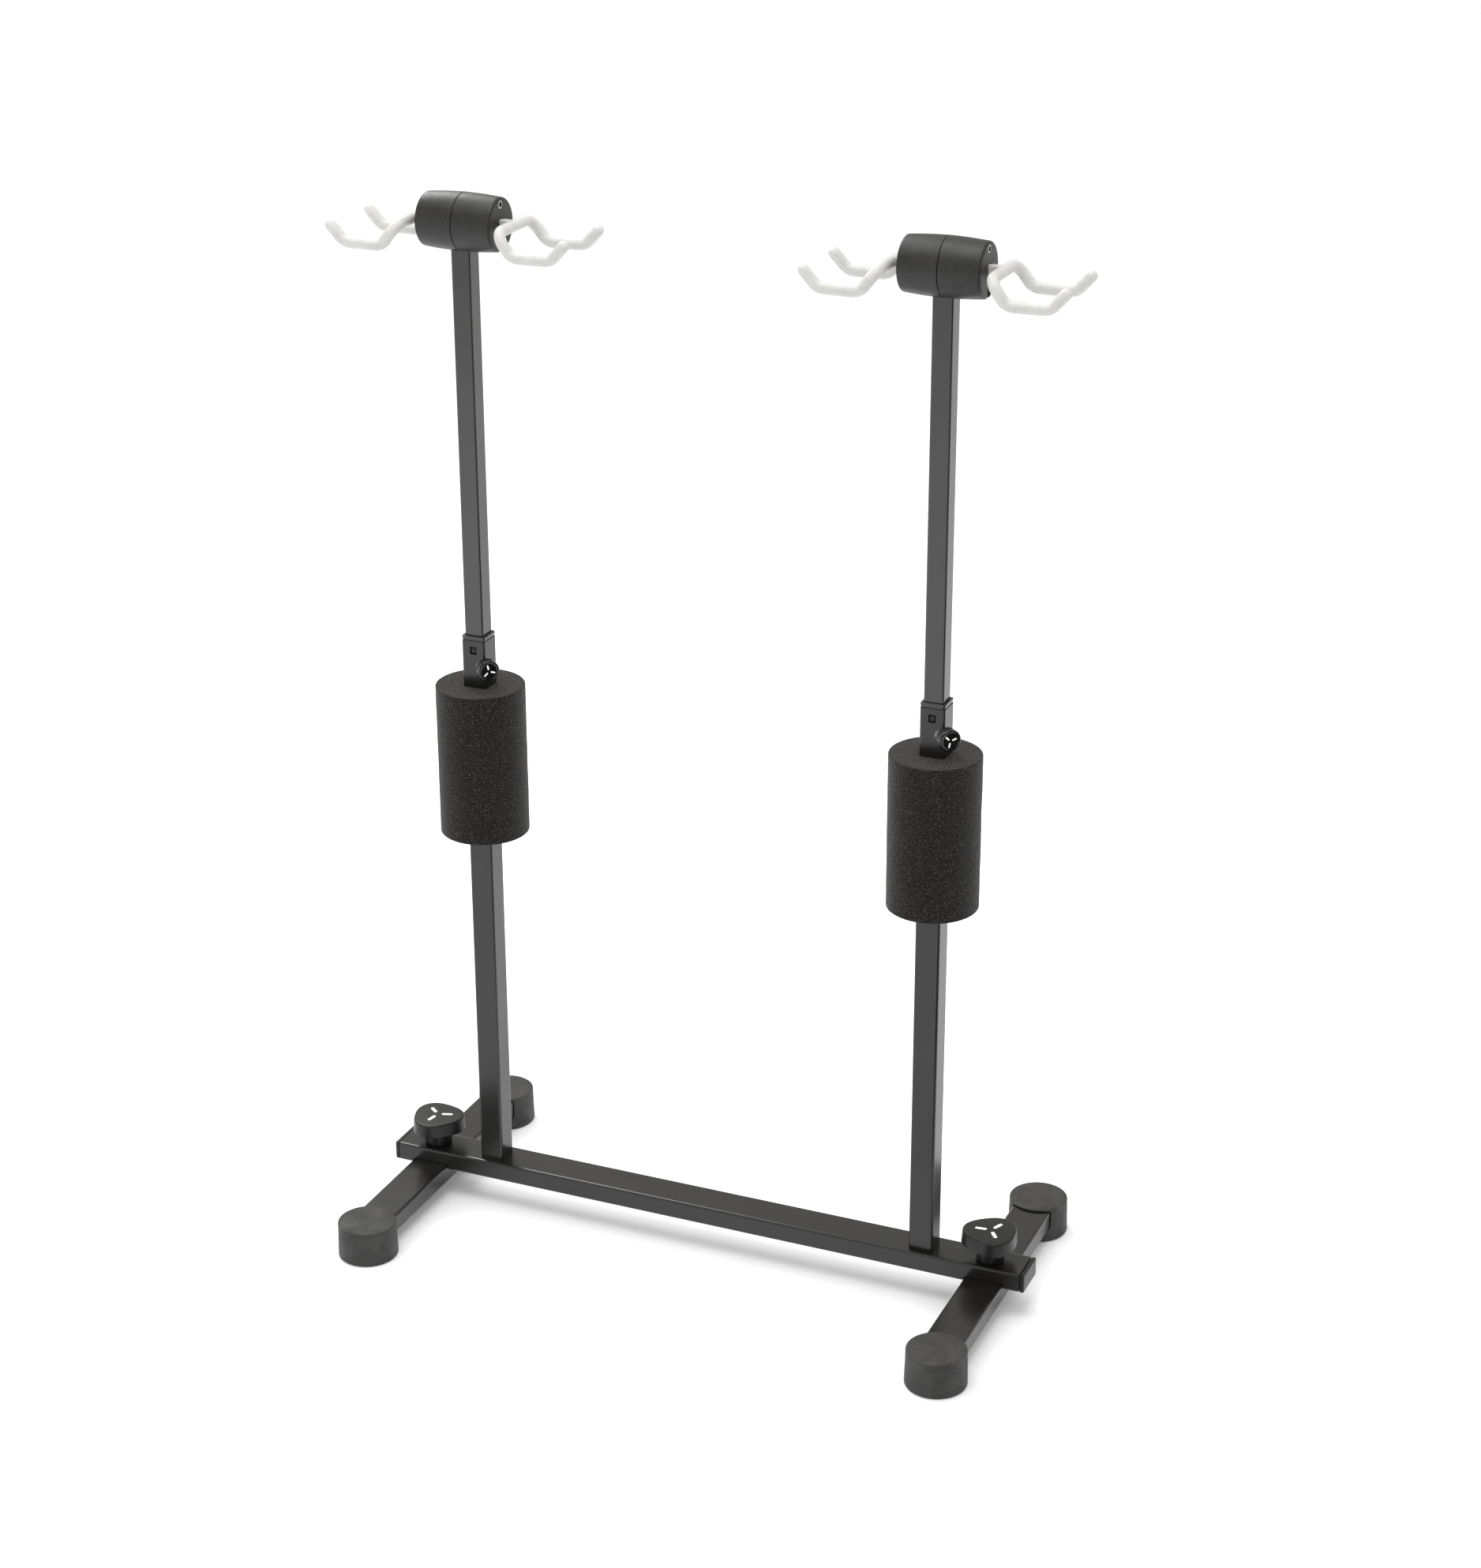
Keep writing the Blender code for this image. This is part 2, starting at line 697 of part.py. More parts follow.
def build_bracket(side, x, lift):
    """The steel bracket in the barrel: a plug in the tube and two cheeks for the fork pins."""
    low = HEAD_Z - TUBE_TO_HEAD + GAP
    cheek_reach = HEAD_HALF - HEAD_END_WALL - CHEEK_END_GAP
    bracket = span_box(
        f"head_bracket_{side}", (x - BRACKET_HALF, x + BRACKET_HALF), (-CHEEK_OUT, CHEEK_OUT),
        (low, low + BRACKET_PLATE),
    )
    plug_half = INNER_SIDE / 2 - INNER_WALL - GAP
    plug_depth = plug_half - BRACKET_PLUG_TRIM
    plug = span_box(
        f"bracket_plug_{side}", (x - plug_half, x + plug_half), (-plug_depth, plug_depth),
        (low - BRACKET_PLUG, low + 0.001),
    )
    join(bracket, plug)
    for name, sign in ENDS:
        y_span = sorted((sign * CHEEK_IN, sign * CHEEK_OUT))
        cheek = span_box(
            f"bracket_cheek_{name}_{side}", (x - cheek_reach, x + cheek_reach), y_span,
            (low + 0.0004, HEAD_Z - CHEEK_TOP_DROP),
        )
        join(bracket, cheek)
    for name, sign in SIDES:
        place = (x + sign * PIVOT_OUT, 0, HEAD_Z - PIVOT_DROP)
        cut(bracket, cylinder(
            f"bracket_pin_hole_{name}_{side}", PIN_RADIUS + GAP, 0.03, place, (0, 1, 0), sides=14
        ))
    finish(bracket, "zinc_steel")
    hang(lift, bracket)


def build_head_shell(side, x, name, sign, lift):
    """Half of the barrel: a cup that opens at the middle seam."""
    profile = [(0, HEAD_HALF)]
    profile += arc((HEAD_END_RADIUS - HEAD_EDGE, HEAD_HALF - HEAD_EDGE), HEAD_EDGE, 90, 0, 3)
    profile += [
        ((HEAD_END_RADIUS + HEAD_SEAM_RADIUS) / 2 + HEAD_BULGE, HEAD_HALF / 2),
        (HEAD_SEAM_RADIUS, SEAM_CHAMFER_HEIGHT),
        (HEAD_SEAM_RADIUS - SEAM_CHAMFER, SEAM_HALF_GAP),
        (HEAD_SEAM_RADIUS - HEAD_WALL, SEAM_HALF_GAP),
        (HEAD_END_RADIUS - HEAD_WALL, HEAD_HALF - HEAD_END_WALL),
        (0, HEAD_HALF - HEAD_END_WALL),
    ]
    shell = turned(f"head_shell_{name}_{side}", profile, (x, 0, HEAD_Z), (sign, 0, 0), steps=24)
    label = f"{name}_{side}"
    slot = span_box(
        f"slot_cutter_{label}",
        sorted((x + sign * (HEAD_HALF - HEAD_END_WALL - 0.001), x + sign * (HEAD_HALF + OVERCUT))),
        (-SLOT_HALF, SLOT_HALF),
        (HEAD_Z - HEAD_SEAM_RADIUS - OVERCUT, HEAD_Z + SLOT_TOP),
    )
    hole_half = INNER_SIDE / 2 + GAP
    hole = span_box(
        f"tube_hole_cutter_{label}", (x - hole_half, x + hole_half), (-hole_half, hole_half),
        (HEAD_Z - HEAD_SEAM_RADIUS - OVERCUT, HEAD_Z - TUBE_TO_HEAD + 0.003),
    )
    tie_hole = cylinder(
        f"tie_hole_cutter_{label}", TIE_HOLE_RADIUS, 2 * OVERCUT,
        (x + sign * HEAD_HALF, 0, HEAD_Z + TIE_HEIGHT), (1, 0, 0), sides=14,
    )
    recess = cylinder(
        f"tie_recess_cutter_{label}", RECESS_RADIUS, 2 * RECESS_DEPTH,
        (x + sign * HEAD_HALF, 0, HEAD_Z + TIE_HEIGHT), (1, 0, 0), sides=16,
    )
    cut(shell, slot, hole, tie_hole, recess)
    finish(shell, "head_plastic")
    hang(lift, shell)


def build_tie(side, x, lift):
    """The screw and sleeve nut that hold the two barrel halves together."""
    face = HEAD_HALF - TIE_HEAD_SETBACK
    under = HEAD_HALF - RECESS_DEPTH + GAP
    rim = [
        (0, face), (TIE_HEAD_RADIUS - 0.0005, face), (TIE_HEAD_RADIUS, face - 0.0004),
        (TIE_HEAD_RADIUS, under),
    ]
    shank = [
        (TIE_SCREW_RADIUS, under), (TIE_SCREW_RADIUS, -TIE_SCREW_REACH), (0, -TIE_SCREW_REACH)
    ]
    sleeve = [
        (TIE_NUT_RADIUS, under), (TIE_NUT_RADIUS, TIE_NUT_STEP), (TIE_NUT_BORE, TIE_NUT_STEP),
        (TIE_NUT_BORE, TIE_NUT_END), (0, TIE_NUT_END),
    ]
    place = (x, 0, HEAD_Z + TIE_HEIGHT)
    screw = turned(f"head_tie_screw_{side}", rim + shank, place, (1, 0, 0), steps=14)
    finish(screw, "zinc_steel")
    nut = turned(f"head_tie_nut_{side}", rim + sleeve, place, (-1, 0, 0), steps=14)
    finish(nut, "zinc_steel")
    hang(lift, screw, nut)


def fork_corners():
    """The fork's corner points in the barrel's frame, from the front tip to the rear tip."""
    half = [FORK_TIP, FORK_FAR, FORK_LOW, (YOKE_OUT, 0)]
    front = [Vector((out, -FORK_HALF_GAP, height)) for out, height in half]
    rear = [Vector((out, FORK_HALF_GAP, height)) for out, height in reversed(half)]
    return front + rear


def bend_corners(corners, radius, steps):
    """Replaces each inner corner of a path with an arc."""
    path = [corners[0]]
    for before, corner, after in zip(corners, corners[1:], corners[2:]):
        back = (before - corner).normalized()
        ahead = (after - corner).normalized()
        half_turn = (math.pi - back.angle(ahead)) / 2
        reach = radius * math.tan(half_turn)
        centre = corner + (back + ahead).normalized() * (radius / math.cos(half_turn))
        start = corner + back * reach - centre
        end = corner + ahead * reach - centre
        for index in range(steps + 1):
            path.append(centre + start.slerp(end, index / steps).normalized() * radius)
    path.append(corners[-1])
    return path


def trimmed(path, amount):
    """The path with both ends moved in, or out where the amount is negative."""
    ends = list(path)
    ends[0] = path[0] + (path[1] - path[0]).normalized() * amount
    ends[-1] = path[-1] + (path[-2] - path[-1]).normalized() * amount
    return ends


def domed(path, radius):
    """Adds round ends to a rod's path, and returns the width at each point."""
    front = []
    rear = []
    widths = []
    for index in range(1, DOME_STEPS + 1):
        angle = math.pi / 2 * index / DOME_STEPS
        front.append(path[0] + (path[0] - path[1]).normalized() * radius * math.sin(angle))
        rear.append(path[-1] + (path[-1] - path[-2]).normalized() * radius * math.sin(angle))
        widths.append(max(math.cos(angle), DOME_TIP))
    full = list(reversed(front)) + list(path) + rear
    return full, list(reversed(widths)) + [1.0] * len(path) + widths


def tongue_outline():
    """The flat steel tongue, from the yoke back and down to the eye, in the barrel's frame."""
    eye = (PIVOT_OUT, -PIVOT_DROP)
    left = PIVOT_OUT - EYE_RADIUS
    right = PIVOT_OUT + EYE_RADIUS
    outline = [
        (YOKE_OUT, -TONGUE_HALF), (YOKE_OUT, TONGUE_HALF), (left + 0.002, TONGUE_HALF), (left, 0.001)
    ]
    outline += arc(eye, EYE_RADIUS, 180, 360, 8)
    outline += [(right, -TONGUE_HALF)]
    return outline, circle(PIN_RADIUS + GAP, 14, eye)


def build_fork(side, x, name, sign, lift):
    """One neck fork: a steel wire with its tongue, in a milky plastic sleeve."""
    label = f"{name}_{side}"
    path = bend_corners(fork_corners(), FORK_BEND, FORK_STEPS)
    wire = rod(f"fork_wire_{label}", trimmed(path, WIRE_END_GAP), WIRE_RADIUS, 2)
    outline, eye_hole = tongue_outline()
    tongue = extruded(
        f"fork_tongue_{label}", (outline, eye_hole), TONGUE_THICKNESS, (0, 0, 0), (math.pi / 2, 0, 0)
    )
    join(wire, tongue)
    finish(wire, "zinc_steel")

    full, widths = domed(path, SLEEVE_RADIUS)
    sleeve = rod(f"fork_sleeve_{label}", full, SLEEVE_RADIUS, 2, widths)
    root = span_box(
        f"sleeve_root_{label}", (ROOT_START, YOKE_OUT), (-ROOT_HALF, ROOT_HALF),
        (ROOT_BOTTOM, ROOT_TOP),
    )
    bevel_edges(root, ROOT_EDGE, 1)
    channel = rod(
        f"wire_channel_{label}", trimmed(path, WIRE_END_GAP - GAP), WIRE_RADIUS + GAP, 2
    )
    tongue_room = span_box(
        f"tongue_channel_{label}", (PIVOT_OUT, YOKE_OUT), (-TONGUE_ROOM_HALF, TONGUE_ROOM_HALF),
        (-TONGUE_ROOM, TONGUE_ROOM),
    )
    join(sleeve, root)
    cut(sleeve, channel, tongue_room)
    finish(sleeve, "milky_plastic")

    pivot = joint_empty(f"fork_axis_{label}", (x + sign * PIVOT_OUT, 0, HEAD_Z - PIVOT_DROP))
    turn = 0 if sign > 0 else math.pi
    for piece in (wire, sleeve, tongue, root, channel, tongue_room):
        piece.matrix_world = barrel_place(x, turn) @ piece.matrix_basis
    hang(pivot, wire, sleeve)
    pin = cylinder(
        f"fork_pin_{label}", PIN_RADIUS, PIN_LENGTH, pivot.location, (0, 1, 0), sides=14
    )
    finish(pin, "zinc_steel")
    hang(lift, pin)


def barrel_place(x, turn):
    """The barrel's frame in the world, turned about its upright axis."""
    return Matrix.Translation((x, 0, HEAD_Z)) @ Matrix.Rotation(turn, 4, "Z")


def build_head(side, x):
    lift = joint_empty(f"height_slide_axis_{side}", (x, 0, HEAD_Z))
    build_inner_tube(side, x, lift)
    build_bracket(side, x, lift)
    build_tie(side, x, lift)
    for name, sign in (("inner", -1), ("outer", 1)):
        outward = sign * (1 if x > 0 else -1)
        build_head_shell(side, x, name, outward, lift)
        build_fork(side, x, name, outward, lift)


def build_rack():
    build_crossbeam()
    for side, sign in SIDES:
        build_end_cap(side, sign)
        build_leg(side, sign)
        build_leg_knob(side, sign)
        x = sign * POST_X
        build_outer_tube(side, x)
        build_bush(side, x)
        build_foam_roll(side, x)
        build_thumb_screw(side, x)
        build_head(side, x)


clear_scene()
make_materials()
parts = make_collection("guitar_rack")
cutters = make_collection("cutters")
cutters.hide_render = True
build_rack()
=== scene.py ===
"""Looks of the four-place guitar rack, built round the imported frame.

Metres, +Z up, +X along the crossbeam to the right post, -Y towards the camera.
"""

import json
import math

import bmesh
import bpy
from mathutils import Matrix, Vector, noise


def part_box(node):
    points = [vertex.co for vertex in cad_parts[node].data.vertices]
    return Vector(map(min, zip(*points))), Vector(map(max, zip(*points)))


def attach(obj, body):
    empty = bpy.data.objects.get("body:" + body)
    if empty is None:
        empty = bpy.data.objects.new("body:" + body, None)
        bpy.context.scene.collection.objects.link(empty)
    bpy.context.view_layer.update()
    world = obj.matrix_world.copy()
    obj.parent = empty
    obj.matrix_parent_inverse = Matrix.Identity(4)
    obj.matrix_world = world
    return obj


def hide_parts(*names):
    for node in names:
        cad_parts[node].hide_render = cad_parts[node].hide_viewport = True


SIDES = (("left", -1), ("right", 1))
FORKS = (("inner", -1), ("outer", 1))
ENDS = (("front", -1), ("rear", 1))

# Clearance between touching pieces
GAP = 0.0003

# Below this, two lengths are the same
TINY = 0.000001

# Foam roll. Its skin has broad waves and small cells, each as (frequency, depth)
FOAM_INSET = 0.0001
FOAM_EDGE = 0.0012
FOAM_LEVELS = 76
FOAM_STEPS = 176
FOAM_TOP_SHARES = (0.04, 0.2, 0.4, 0.6, 0.8, 0.94)
FOAM_BOTTOM_SHARES = (0.94, 0.7, 0.4, 0.1)
FOAM_WAVES = (45, 0.00022)
FOAM_CELLS = (420, 0.00010)
FOAM_SHRINK = 0.0002
FOAM_SEED = 7
BORE_POWER = 14

# Foot. The crown is (share of the radius, drop), the groove in the sole (inset, rise)
FOOT_CROWN = ((0.0, 0.0), (0.5, 0.0001), (0.8, 0.0004))
FOOT_SHOULDER = 0.0007
FOOT_RIM = 0.0010
FOOT_DRAFT = 0.0009
FOOT_SOLE = 0.0022
FOOT_STEPS = 112
FOOT_GROOVE = ((0.0065, 0.0), (0.0072, 0.0007), (0.0105, 0.0007), (0.0112, 0.0))
SOCKET_DEPTH = 0.05
SOCKET_ROOM = 0.0014
SOCKET_CORNER = 0.003

# Printed mark: three round-ended bars, at scale 1
MARK_HALF = 0.0034
MARK_END_RADIUS = 0.0015
MARK_OUT = 0.0085
MARK_THICKNESS = 0.00012
MARK_BARS = 3

# Clamp knob: a lobed cap on a round hub
KNOB_RADIUS = 0.0276
KNOB_LOBES = 3
KNOB_LOBE = 0.0019
KNOB_TURN = {"left": math.radians(20), "right": math.radians(66)}
KNOB_HEIGHT = 0.0154
KNOB_UNDER_EDGE = 0.0012
KNOB_DRAFT = 0.0009
KNOB_EDGE = 0.0019
KNOB_CROWN = 0.0006
KNOB_CROWN_SHARES = (0.86, 0.7, 0.5, 0.3, 0.12, 0.0)
KNOB_STEPS = 168
KNOB_MARK_SCALE = 1.2
KNOB_MARK_SINK = 0.00013
HUB_RADIUS = 0.0142
HUB_EDGE = 0.001
HUB_FILLET = 0.0015
BOLT_BORE = 0.0043

# Thumb screw, measured along its axis from the post's centre line
SCREW_Z = 0.604
SCREW_AXIS = (1, -1, 0)
BOSS_FACE = 0.0203
THUMB_FACE = 0.0313
THUMB_RADIUS = 0.011
THUMB_BORE = 0.0043
THUMB_BORE_SHARE = 0.7
THUMB_GRIP_SHARE = 0.58
THUMB_RIDGES = 30
THUMB_RIDGE = 0.0009
STEPS_PER_RIDGE = 8
# The grip's back edge and the neck behind the rim, as (inset, height, ribbing)
THUMB_BACK = ((0.0013, 0.0, 0.0), (0.0006, 0.0005, 0.6))
THUMB_NECK = ((0.0006, -0.0001, 0.5), (0.0010, 0.0002, 0.0), (0.0008, 0.0005, 0.0))
THUMB_GRIP_INSET = 0.0002
THUMB_GRIP_START = 0.0009
THUMB_GRIP_LOSS = 0.0014
THUMB_GRIP_ROWS = 4
THUMB_RIM_BACK = 0.0006
THUMB_RIM_START = 0.0005
THUMB_RIM_FRONT = 0.0016
# The dish in the face, as (radius, depth)
THUMB_DISH = (
    (0.0088, 0.0001), (0.0083, 0.0005), (0.0078, 0.0006),
    (0.0055, 0.00057), (0.0025, 0.00055), (0.0, 0.00055),
)
THUMB_MARK_SCALE = 0.5
THUMB_MARK_SINK = 0.00056
THUMB_MARK_TURN = 0.3

# Window in the outer tube's front face, with the bush's tab in it
WINDOW_LOW = 0.6157
WINDOW_HIGH = 0.6234
TAB_SIZE = (0.0050, 0.0056, 0.0007)
TAB_THICKNESS = 0.0012
TAB_EDGE = 0.0003
TAB_SINK = 0.0013
# The pocket: a near-black plate behind the tab, painted shade in the window round the tab
POCKET_SIZE = (0.0090, 0.0096, 0.0010)
POCKET_THICKNESS = 0.0006
POCKET_SINK = 0.0013

# Guide bush. The rim's foot is (narrower by, height, corner)
BUSH_EDGE = 0.0008
BUSH_CORNER = 0.0022
BUSH_FOOT = ((0.0, 0.0016, 0.0022), (0.0005, 0.0012, 0.0020), (0.0012, 0.0010, 0.0019), (0.0012, 0.0, 0.0019))
BUSH_BORE_CORNER = 0.002
BUSH_LEAD_IN = 0.0004
BUSH_LEAD_CORNER = 0.0023

# Head barrel. The end face is (share of the radius, drop)
HEAD_END_RADIUS = 0.0258
HEAD_SEAM_RADIUS = 0.0277
HEAD_END_FACE = ((0.0, 0.0), (0.45, 0.00005), (0.75, 0.0001))
HEAD_END_DROP = 0.0001
HEAD_EDGE = 0.0028
HEAD_BULGE = 0.0004
HEAD_BULGE_SHARES = (0.2, 0.4, 0.6, 0.8)
HEAD_SEAM_GAP = 0.0002
HEAD_SEAM_BREAK = 0.0004
HEAD_TAPER = 0.001
HEAD_WALL = 0.0028
HEAD_END_WALL = 0.0045
HEAD_STEPS = 128
SLOT_HALF = 0.004
SLOT_TOP = 0.0065
SLOT_PAST = 0.01
SLOT_CORNER = 0.0011
SLOT_REACH = 0.004
POST_HOLE_CORNER = 0.002
POST_HOLE_LENGTH = 0.024
TIE_HEIGHT = 0.019
TIE_RADIUS = 0.0042
TIE_EDGE = 0.0006
TIE_STEPS = 48
TIE_TOP = -0.0003
TIE_UNDER = 0.00005
TIE_SOCKET = 0.0029
TIE_SOCKET_LENGTH = 0.0010
# Near-black plate at the floor of the tie screw's socket, painted shade: its thickness and its sink
TIE_SHADE_PLATE = 0.00015
TIE_SHADE_PLATE_SINK = 0.0004
RECESS_DEPTH = 0.0011
RECESS_ROOM = 0.0004
RECESS_MOUTH = 0.0006
RECESS_REACH = 0.004
PIT_OUT = 0.008
PIT_ANGLE = math.radians(9)
PIT_RADIUS = 0.0275
PIT_STEPS = 20
PIT_PROFILE = ((0.0, -0.0010), (0.0004, -0.0008), (0.0007, 0.0), (0.0007, 0.002), (0.0, 0.002))

# Neck fork, measured from the barrel's centre: distance out along X, and height
YOKE_OUT = 0.052
FORK_HALF_GAP = 0.0373
FORK_LOW = (0.0682, -0.021)
FORK_FAR = (0.1079, -0.0208)
FORK_TIP = (0.1216, -0.0059)
FORK_BEND = 0.014
SLEEVE_RADIUS = 0.0055
# The root in the slot: (distance out, width, bottom, top)
ROOT_SECTIONS = (
    (0.0374, 0.0068, -0.0046, 0.0054),
    (0.0440, 0.0070, -0.0048, 0.0056),
    (0.0490, 0.0080, -0.0050, 0.0054),
    (0.0515, 0.0100, -0.0046, 0.0048),
)
ROOT_CORNER = 0.0018

# Colours, linear. Each pair is darker then lighter, or fresh then worn for the print. Dust on the coat is
# this many times as bright as its lighter shade
COAT_DUST = 3
COAT_SHADES = ((0.0065, 0.0061, 0.0058), (0.0090, 0.0085, 0.0081))
INNER_TUBE_SHADES = ((0.0105, 0.0102, 0.0099), (0.0145, 0.0141, 0.0137))
BLACK_SHADES = ((0.0062, 0.0060, 0.0058), (0.0115, 0.0112, 0.0108))
GLOSSY_SHADES = ((0.004, 0.004, 0.004), (0.007, 0.007, 0.007))
HEAD_SHADES = ((0.012, 0.0115, 0.011), (0.021, 0.0201, 0.0193))
# Near-black for the plates in the tie screw's socket and behind the bush's tab: painted shade
PAINTED_SHADE_BLACKS = ((0.0015, 0.0015, 0.0015), (0.003, 0.003, 0.003))
# Painted shade in the pits of the plastic's grain
GRAIN_PIT_SHADE = (0.004, 0.004, 0.004)
RUBBER_SHADES = ((0.021, 0.0205, 0.020), (0.036, 0.0352, 0.0345))
RUBBER_SCUFF = (0.075, 0.073, 0.071)
FOAM_SHADES = ((0.0085, 0.0080, 0.0077), (0.0105, 0.0099, 0.0095))
# Painted shade in the foam's pits
FOAM_PIT_SHADE = (0.004, 0.0038, 0.0036)
# Painted highlight on the foam's raised strands
FOAM_STRAND_HIGHLIGHT = (0.105, 0.099, 0.095)
MILKY_SHADES = ((0.53, 0.53, 0.51), (0.59, 0.59, 0.575))
MILKY_SMUDGE = (0.46, 0.46, 0.44)
ZINC_SHADES = ((0.42, 0.42, 0.41), (0.62, 0.62, 0.60))
PRINT_SHADES = ((0.85, 0.85, 0.84), (0.45, 0.45, 0.44))
FLOOR_SHADES = ((0.87, 0.88, 0.895), (0.88, 0.89, 0.905))
CARD_SHADES = ((0.002, 0.002, 0.002), (0.004, 0.004, 0.004))
SKY = (1.0, 0.985, 0.965, 1.0)

# Studio. The sky is brighter in itself than in reflections
SKY_SEEN = 1.18
SKY_REFLECTED = 0.70
FLOOR_HALF = 40.0
FLOOR_HEIGHT = -0.0002
# Softboxes: name, place, target, size, radiance
SOFTBOXES = (
    ("overhead", (0.0, -0.3, 3.3), (0.0, 0.0, 0.5), (2.0, 2.0), 3.6),
    ("back_left", (-1.9, 1.5, 2.7), (0.0, 0.0, 0.6), (1.3, 1.3), 9.0),
    ("front_left", (-1.5, -2.1, 1.1), (-1.3, -2.0, 0.0), (1.1, 1.1), 2.6),
)
# Black card: one sheet on the floor and one upright
CARD_ON_FLOOR = (
    (0.15, -0.3, 0.001), (0.9, -0.13, 0.001), (2.4, -0.35, 0.001), (1.9, -2.3, 0.001), (0.8, -1.9, 0.001),
)
CARD_UPRIGHT = ((2.4, -0.35, 0.0), (2.4, -0.35, 2.2), (1.9, -2.3, 2.2), (1.9, -2.3, 0.0))

# Camera: angles in radians, lens in millimetres
CAMERA_PLACE = (1.14227, -2.59009, 1.68040)
CAMERA_YAW = 0.4021
CAMERA_PITCH = -0.3918
CAMERA_ROLL = -0.0021
CAMERA_LENS = 72.14
CAMERA_REACH = 200.0

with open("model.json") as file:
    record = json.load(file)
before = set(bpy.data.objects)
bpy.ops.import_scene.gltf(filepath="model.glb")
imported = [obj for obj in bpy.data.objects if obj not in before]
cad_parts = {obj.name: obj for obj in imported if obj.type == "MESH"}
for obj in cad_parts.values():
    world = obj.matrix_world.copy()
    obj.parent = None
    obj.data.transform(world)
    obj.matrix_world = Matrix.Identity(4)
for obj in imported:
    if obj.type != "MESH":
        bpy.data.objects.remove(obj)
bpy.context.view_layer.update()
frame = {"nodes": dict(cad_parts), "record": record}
bodies_of_nodes = {
    node: body for body, nodes in frame["record"]["behaviour"]["bodies"].items() for node in nodes
}
slots_of_nodes = {row["node"]: row["material_slot"] for row in frame["record"]["subparts"]}


# ---------------------------------------------------------------- materials


def add(tree, kind, settings=None, **inputs):
    """Adds a node. An input is a value, or a socket to link to it."""
    node = tree.nodes.new(kind)
    for key, value in (settings or {}).items():
        setattr(node, key, value)
    for key, value in inputs.items():
        socket = node.inputs[key.replace("_", " ")]
        if isinstance(value, bpy.types.NodeSocket):
            tree.links.new(value, socket)
        else:
            socket.default_value = value
    return node


def noise_at(tree, place, size, detail=3.0, roughness=0.5):
    """Noise whose largest features are about size metres across."""
    made = add(
        tree, "ShaderNodeTexNoise", Vector=place, Scale=1 / size, Detail=detail, Roughness=roughness
    )
    return made.outputs["Fac"]


def ranged(tree, value, low, high, to_low, to_high):
    """Maps low..high to to_low..to_high, clamped."""
    made = add(tree, "ShaderNodeMapRange", Value=value)
    made.inputs["From Min"].default_value = low
    made.inputs["From Max"].default_value = high
    made.inputs["To Min"].default_value = to_low
    made.inputs["To Max"].default_value = to_high
    return made.outputs["Result"]


def blended(tree, factor, first, second):
    """Mixes two colours; a colour is a value or a socket."""
    made = tree.nodes.new("ShaderNodeMix")
    made.data_type = "RGBA"
    for value, index in ((factor, 0), (first, 6), (second, 7)):
        socket = made.inputs[index]
        if isinstance(value, bpy.types.NodeSocket):
            tree.links.new(value, socket)
        else:
            socket.default_value = value if index == 0 else (*value, 1.0)
    return made.outputs[2]


def new_finish(name):
    """A new material, with its node tree, its shader and its place coordinate."""
    made = bpy.data.materials.new(name)
    made.use_nodes = True
    tree = made.node_tree
    place = add(tree, "ShaderNodeTexCoord").outputs["Object"]
    return made, tree, tree.nodes["Principled BSDF"], place


def set_inputs(shader, **values):
    """Sets constants on the shader's own sockets."""
    for key, value in values.items():
        shader.inputs[key.replace("_", " ")].default_value = value


def bump(tree, height, depth, normal=None):
    """Bump of a height by a depth in metres, over an earlier normal."""
    made = add(tree, "ShaderNodeBump", Height=height, Distance=depth, Strength=1.0)
    if normal is not None:
        tree.links.new(normal, made.inputs["Normal"])
    return made.outputs["Normal"]


def soft_edges(tree, radius):
    """Rounds hard edges in the shading only."""
    return add(tree, "ShaderNodeBevel", {"samples": 4}, Radius=radius).outputs["Normal"]


def stretched(tree, place, scale):
    """Place with each axis scaled, so that noise on it is drawn out."""
    return add(tree, "ShaderNodeMapping", Vector=place, Scale=scale).outputs["Vector"]


def coated_steel(name, shades, roughness, edge, index=1.5):
    """Satin powder coat: orange peel, fine grain, faint clouds and a few dust specks."""
    made, tree, shader, place = new_finish(name)
    clouds = noise_at(tree, place, 0.05, 4.0, 0.6)
    specks = noise_at(tree, place, 0.0016, 2.0, 0.7)
    base = blended(tree, ranged(tree, clouds, 0.35, 0.65, 0.0, 1.0), *shades)
    dust = ranged(tree, specks, 0.80, 0.86, 0.0, 0.35)
    coloured = blended(tree, dust, base, [value * COAT_DUST for value in shades[1]])
    tree.links.new(coloured, shader.inputs["Base Color"])
    smears = noise_at(tree, stretched(tree, place, (1.0, 1.0, 0.25)), 0.03, 5.0, 0.65)
    tree.links.new(
        ranged(tree, smears, 0.3, 0.7, roughness - 0.02, roughness + 0.02), shader.inputs["Roughness"]
    )
    peel = bump(tree, noise_at(tree, place, 0.0024, 1.0), 0.000004, soft_edges(tree, edge))
    grain = bump(tree, noise_at(tree, place, 0.0005, 2.0), 0.000002, peel)
    tree.links.new(grain, shader.inputs["Normal"])
    set_inputs(shader, IOR=index)
    return made


